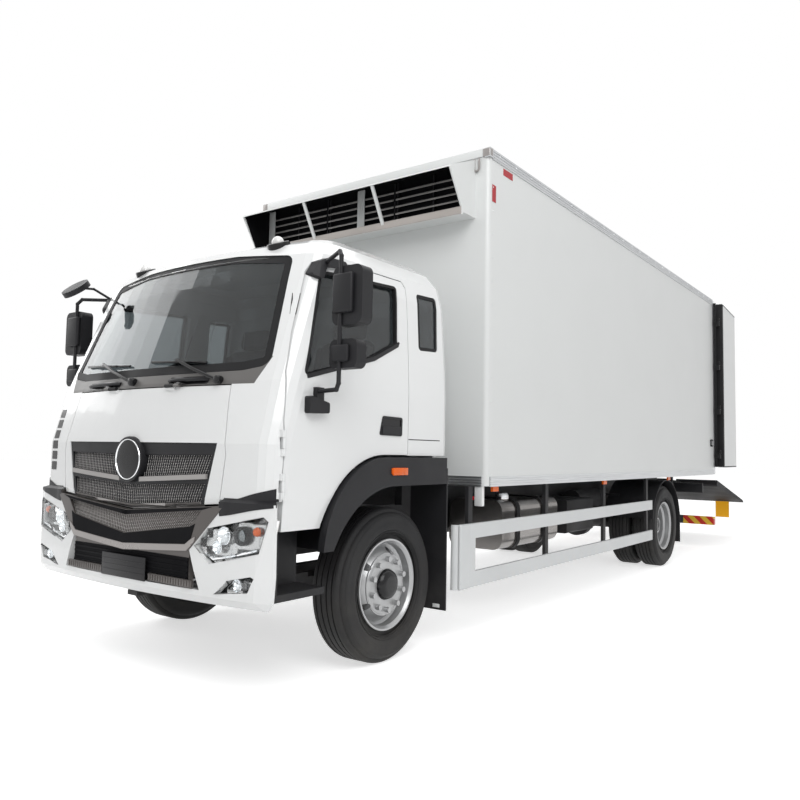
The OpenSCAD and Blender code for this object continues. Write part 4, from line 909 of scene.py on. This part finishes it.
LID_PIN = (-1196, 1772)
bm = bmesh.new()
for side in (1, -1):
    tube(bm, [at(side * 259, *LID_PIN), at(side * 340.5, *LID_PIN)], 0.0115, 24)
piece("lid_hinge_sleeves", bm, "front_lid", "trim_black", gasket_black)

# Rear doors: gaskets, edges, a dark strip behind the hinges that paints the shade in the slit between box and
# door, and the hinge covers

OPEN = math.radians(86)
REAR_PIN = (1330, 8103)
REAR_HINGE_Z = (1450, 2130, 2810, 3490)
for name, side, _ in SIDES:
    pin = at(side * REAR_PIN[0], REAR_PIN[1], 0)
    turn = Matrix.Translation(pin) @ Matrix.Rotation(-side * OPEN, 4, "Z") @ Matrix.Translation(-pin)

    def shut(bm, x0, x1, y0, y1, z0, z1, edge=0.004):
        """Block on the door as drawn shut, sizes in mm from the middle of the truck and the box's end."""
        first = len(bm.verts)
        side_slab(bm, side, (x0, x1), (BOX_REAR + y0, BOX_REAR + y1), (z0, z1), edge)
        bm.verts.ensure_lookup_table()
        bmesh.ops.transform(bm, verts=bm.verts[first:], matrix=turn)

    body = f"rear_door_{name}"
    bm = bmesh.new()
    shut(bm, 1176, 1262, 4, 98, 1250, 3776, 0.004)
    shut(bm, 30, 1176, 3, 8, 1250, 1290, 0.002)
    shut(bm, 30, 1176, 3, 8, 3736, 3776, 0.002)
    piece(f"door_gasket_{name}", bm, body, "trim_black", gasket_black)
    bm = bmesh.new()
    shut(bm, 6, 1175, 4, 98, 1243, 1262, 0.003)
    shut(bm, 6, 1175, 4, 98, 3764, 3781, 0.003)
    piece(f"door_edges_{name}", bm, body, "trim_black", trim_black)
    # Dark strip in the slit at the box's rear corner: painted shade of that slit
    block(f"frame_slit_shade_{name}", side, (BOX_HALF - 1, BOX_HALF + 32), (BOX_REAR - 6, BOX_REAR + 2), (1250, 3776),
          0.002, "trim_black", gasket_black)
    fixed, turning = bmesh.new(), bmesh.new()
    for z in REAR_HINGE_Z:
        side_slab(fixed, side, (BOX_HALF + 1, 1348), (BOX_REAR - 8, BOX_REAR + 68), (z - 72, z - 0.5), 0.004)
        shut(turning, 1262, 1348, 35, 67, z + 0.5, z + 62)
    piece(f"hinge_covers_{name}", fixed, "truck", "trim_black", gasket_black)
    piece(f"hinge_leaves_{name}", turning, body, "trim_black", gasket_black)

# Roof lamps, rear lamps, box feet, side lamps, guard posts, tank straps and cap

for name, side, _ in SIDES:
    foot = at(side * 700, -700, 2702)
    up = Vector((0, -math.sin(math.radians(22)), math.cos(math.radians(22))))
    base = [(0.030, 0.022), (0.066, 0.021), (0.0735, 0.018), (0.0755, 0.012), (0.0755, -0.062)]
    spun(f"roof_lamp_base_{name}", base, foot, up, 40, "truck", "trim_black", gloss_black)
    dome = [(0.0, 0.0625), (0.014, 0.060), (0.027, 0.052), (0.036, 0.040), (0.0405, 0.026), (0.041, 0.017)]
    spun(f"roof_lamp_dome_{name}", dome, foot, up, 40, "truck", "lamp_clear", lamp_white)
    bm = bmesh.new()
    for xs in ((700, 830), (968, 1092)):
        side_slab(bm, side, xs, (BOX_REAR - 41, BOX_REAR - 32), (868, 982), 0.004)
    piece(f"tail_lamp_red_{name}", bm, "truck", "lamp_amber", lamp_red)
    bm = bmesh.new()
    for x0, x1, y0, y1, z0, z1 in ((684, 1106, -90, -79, 854, 996), (684, 1106, -80, -44, 988, 996),
                                   (684, 1106, -80, -44, 854, 862), (684, 692, -80, -44, 862, 988),
                                   (1098, 1106, -80, -44, 862, 988), (652, 686, -66, -36, 894, 946)):
        side_slab(bm, side, (x0, x1), (BOX_REAR + y0, BOX_REAR + y1), (z0, z1), 0.002)
    piece(f"tail_lamp_case_{name}", bm, "truck", "trim_black", trim_black)
    block(f"box_foot_{name}", side, (1168, 1238), (1012, 1050), (985, 1142), 0.006, "panel_white", cab_white)
    block(f"foot_lamp_{name}", side, (1118, 1172), (1018, 1044), (1030, 1058), 0.006, "lamp_amber", lamp_red)
    bm = bmesh.new()
    side_slab(bm, side, (1199, 1214), (-104, 62), (1238, 1288), 0.006)
    for y in (-62, -21, 20):
        side_slab(bm, side, (1198.4, 1214.6), (y - 2, y + 2), (1242, 1284))
    piece(f"arch_lamp_{name}", bm, "truck", "lamp_amber", lamp_amber)
    block(f"flap_label_{name}", side, (1094, 1152), (559, 565), (276, 302), 0.002, "panel_white", panel_white)
    block(f"guard_post_{name}", side, (1222, 1262), (668, 802), (392, 868), 0.016, "rail_metal", guard_silver,
          segments=5)

straps = []
for y in (2018, 2538):
    strap = flat([(459, 544), (1021, 544), (1021, 996), (459, 996)], FRONT, 100, segments=8)
    ring(strap, 9)
    thicken(strap, FRONT, 64)
    bmesh.ops.translate(strap, verts=strap.verts, vec=Vector((0, (y + STAND_OFF) / 1000, 0)))
    straps.append(strap)
piece("tank_straps", joined(*straps), "truck", "trim_black", gasket_black)
cap = [(0.0, 0.022), (0.045, 0.022), (0.052, 0.016), (0.058, 0.0), (0.058, -0.03)]
spun("tank_cap", cap, at(900, 1960, 1021), (0, 0, 1), 32, "truck", "rail_metal", chrome)

# Ribs on the deck of the platform

deck = skin("lift_platform")
low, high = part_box("lift_platform")
near, far = (deck.ray_cast(Vector((0, y, 3)), Vector((0, 0, -1)))[0] for y in (low.y + 0.3, high.y - 0.4))
way = (far - near).normalized()
tilt = Matrix((RIGHT, way, RIGHT.cross(way))).transposed().to_4x4()
bm = bmesh.new()
for i in range(26):
    x = -1.125 + 0.09 * i
    slab(bm, (x - 0.007, 0, -0.002), (x + 0.007, (far - near).length, 0.004), 0.002)
bmesh.ops.transform(bm, verts=bm.verts, matrix=Matrix.Translation(near) @ tilt)
piece("platform_ribs", bm, "platform", "platform_metal", platform_metal)

# Seats and flags

for name, x in (("left", 500), ("right", -520)):
    bm = bmesh.new()
    slab(bm, at(x - 255, -376, 1610), at(x + 255, 150, 1745), 0.055, 5)
    slab(bm, at(x - 275, -330, 1640), at(x - 205, 120, 1768), 0.034, 4)
    slab(bm, at(x + 205, -330, 1640), at(x + 275, 120, 1768), 0.034, 4)
    first = len(bm.verts)
    slab(bm, at(x - 240, 100, 1740), at(x + 240, 216, 2230), 0.05, 5)
    slab(bm, at(x - 255, 72, 1780), at(x - 190, 180, 2180), 0.03, 4)
    slab(bm, at(x + 190, 72, 1780), at(x + 255, 180, 2180), 0.03, 4)
    slab(bm, at(x - 150, 112, 2242), at(x + 150, 206, 2405), 0.042, 5)
    bm.verts.ensure_lookup_table()
    lean = Matrix.Rotation(math.radians(-10), 3, "X")
    bmesh.ops.rotate(bm, verts=bm.verts[first:], cent=at(x, 90, 1700), matrix=lean)
    made = piece(f"seat_cushions_{name}", bm, "truck", "seat_cloth", seat_cloth)
    bm = bmesh.new()
    slab(bm, at(x - 195, -325, 1351), at(x + 195, 115, 1560), 0.012)
    slab(bm, at(x - 235, -350, 1555), at(x + 235, 140, 1612), 0.012)
    base = piece(f"seat_base_{name}", bm, "truck", "cabin_grey", cabin_grey)
    if name == "left":
        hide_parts("seats")

low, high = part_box("warning_flags")
FLAG_X, FLAG_HALF, FLAG_DROP = 0.835, 0.115, 0.28
for name, side, _ in SIDES:
    top = Vector((0, (low.y + high.y) / 2, high.z))
    bm = bmesh.new()
    bmesh.ops.create_grid(bm, x_segments=14, y_segments=16, size=1)
    for v in bm.verts:
        u, t = v.co.x, (1 - v.co.y) / 2
        wave = 0.006 * t * math.sin(3.2 * u + 1.5 * t + side)
        v.co = Vector((side * FLAG_X + u * FLAG_HALF, top.y + wave, top.z - 0.002 - FLAG_DROP * t))
    bmesh.ops.solidify(bm, geom=bm.faces[:], thickness=0.0015)
    # The flag's finish glows: painted light on the cloth
    made = piece(f"flag_{name}", bm, "platform", "flag_yellow", flag_yellow)
    if name == "left":
        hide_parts("warning_flags")

# Camera, floor and light

LENS_MM = 33.73
CAMERA_AT = (4145, -4062, 1393)
FLOOR_GLOW, WORLD_LIGHT = 0.62, 0.45
camera = bpy.data.objects.new("camera", bpy.data.cameras.new("camera"))
scene.collection.objects.link(camera)
camera.data.lens = LENS_MM
camera.data.sensor_width = 36
yaw, pitch, roll = (math.radians(a) for a in (36.15, 3.96, 1.03))
ahead = Vector((-math.sin(yaw) * math.cos(pitch), math.cos(yaw) * math.cos(pitch), math.sin(pitch)))
level = Vector((math.cos(yaw), math.sin(yaw), 0))
above = level.cross(ahead)
right = level * math.cos(roll) + above * math.sin(roll)
above = above * math.cos(roll) - level * math.sin(roll)
turned_view = Matrix((right, above, -ahead)).transposed().to_4x4()
camera.matrix_world = Matrix.Translation(at(*CAMERA_AT)) @ turned_view
scene.camera = camera

floor_bm = bmesh.new()
bmesh.ops.create_grid(floor_bm, x_segments=1, y_segments=1, size=60)
floor_mesh = bpy.data.meshes.new("floor")
floor_bm.to_mesh(floor_mesh)
floor_bm.free()
floor = bpy.data.objects.new("floor", floor_mesh)
scene.collection.objects.link(floor)


def background_rays(n):
    """1 on the rays that show the background, also in metal and through glass."""
    path = n.add("LightPath").outputs
    seen = n.math("MAXIMUM", path["Is Camera Ray"], path["Is Glossy Ray"])
    return n.math("MAXIMUM", seen, path["Is Transmission Ray"])


def make_floor():
    """Pale floor that shows white behind the truck and keeps its shadow."""
    made, n, bsdf = blank("floor_white")
    bsdf.inputs["Base Color"].default_value = (0.86, 0.86, 0.86, 1)
    bsdf.inputs["Roughness"].default_value = 0.9
    n.feed(bsdf.inputs["Emission Strength"], n.math("MULTIPLY", background_rays(n), FLOOR_GLOW))
    bsdf.inputs["Emission Color"].default_value = (1, 1, 1, 1)
    return made


floor_mesh.materials.append(make_floor())

world = bpy.data.worlds.new("studio")
scene.world = world
world.use_nodes = True
wn = Nodes(world.node_tree)
back = world.node_tree.nodes["Background"]
wn.feed(back.inputs["Strength"], wn.remap(background_rays(wn), 0.0, 1.0, WORLD_LIGHT, 1.0))
back.inputs["Color"].default_value = (1, 1, 1, 1)


def softbox(name, place, target, size, watts):
    lamp = bpy.data.lights.new(name, "AREA")
    lamp.shape = "RECTANGLE"
    lamp.size, lamp.size_y = size
    lamp.energy = watts
    made = bpy.data.objects.new(name, lamp)
    scene.collection.objects.link(made)
    made.location = place
    made.rotation_euler = (Vector(target) - Vector(place)).to_track_quat("-Z", "Y").to_euler()


softbox("key_light", (7.0, -9.5, 8.5), (0, -1.5, 1.5), (7, 7), 620)
softbox("top_light", (0.0, 0.0, 11.0), (0, 0, 0), (9, 14), 520)
softbox("side_light", (-8.0, -6.0, 6.0), (0, -2, 1.5), (6, 6), 200)
scene.view_settings.view_transform = "Standard"
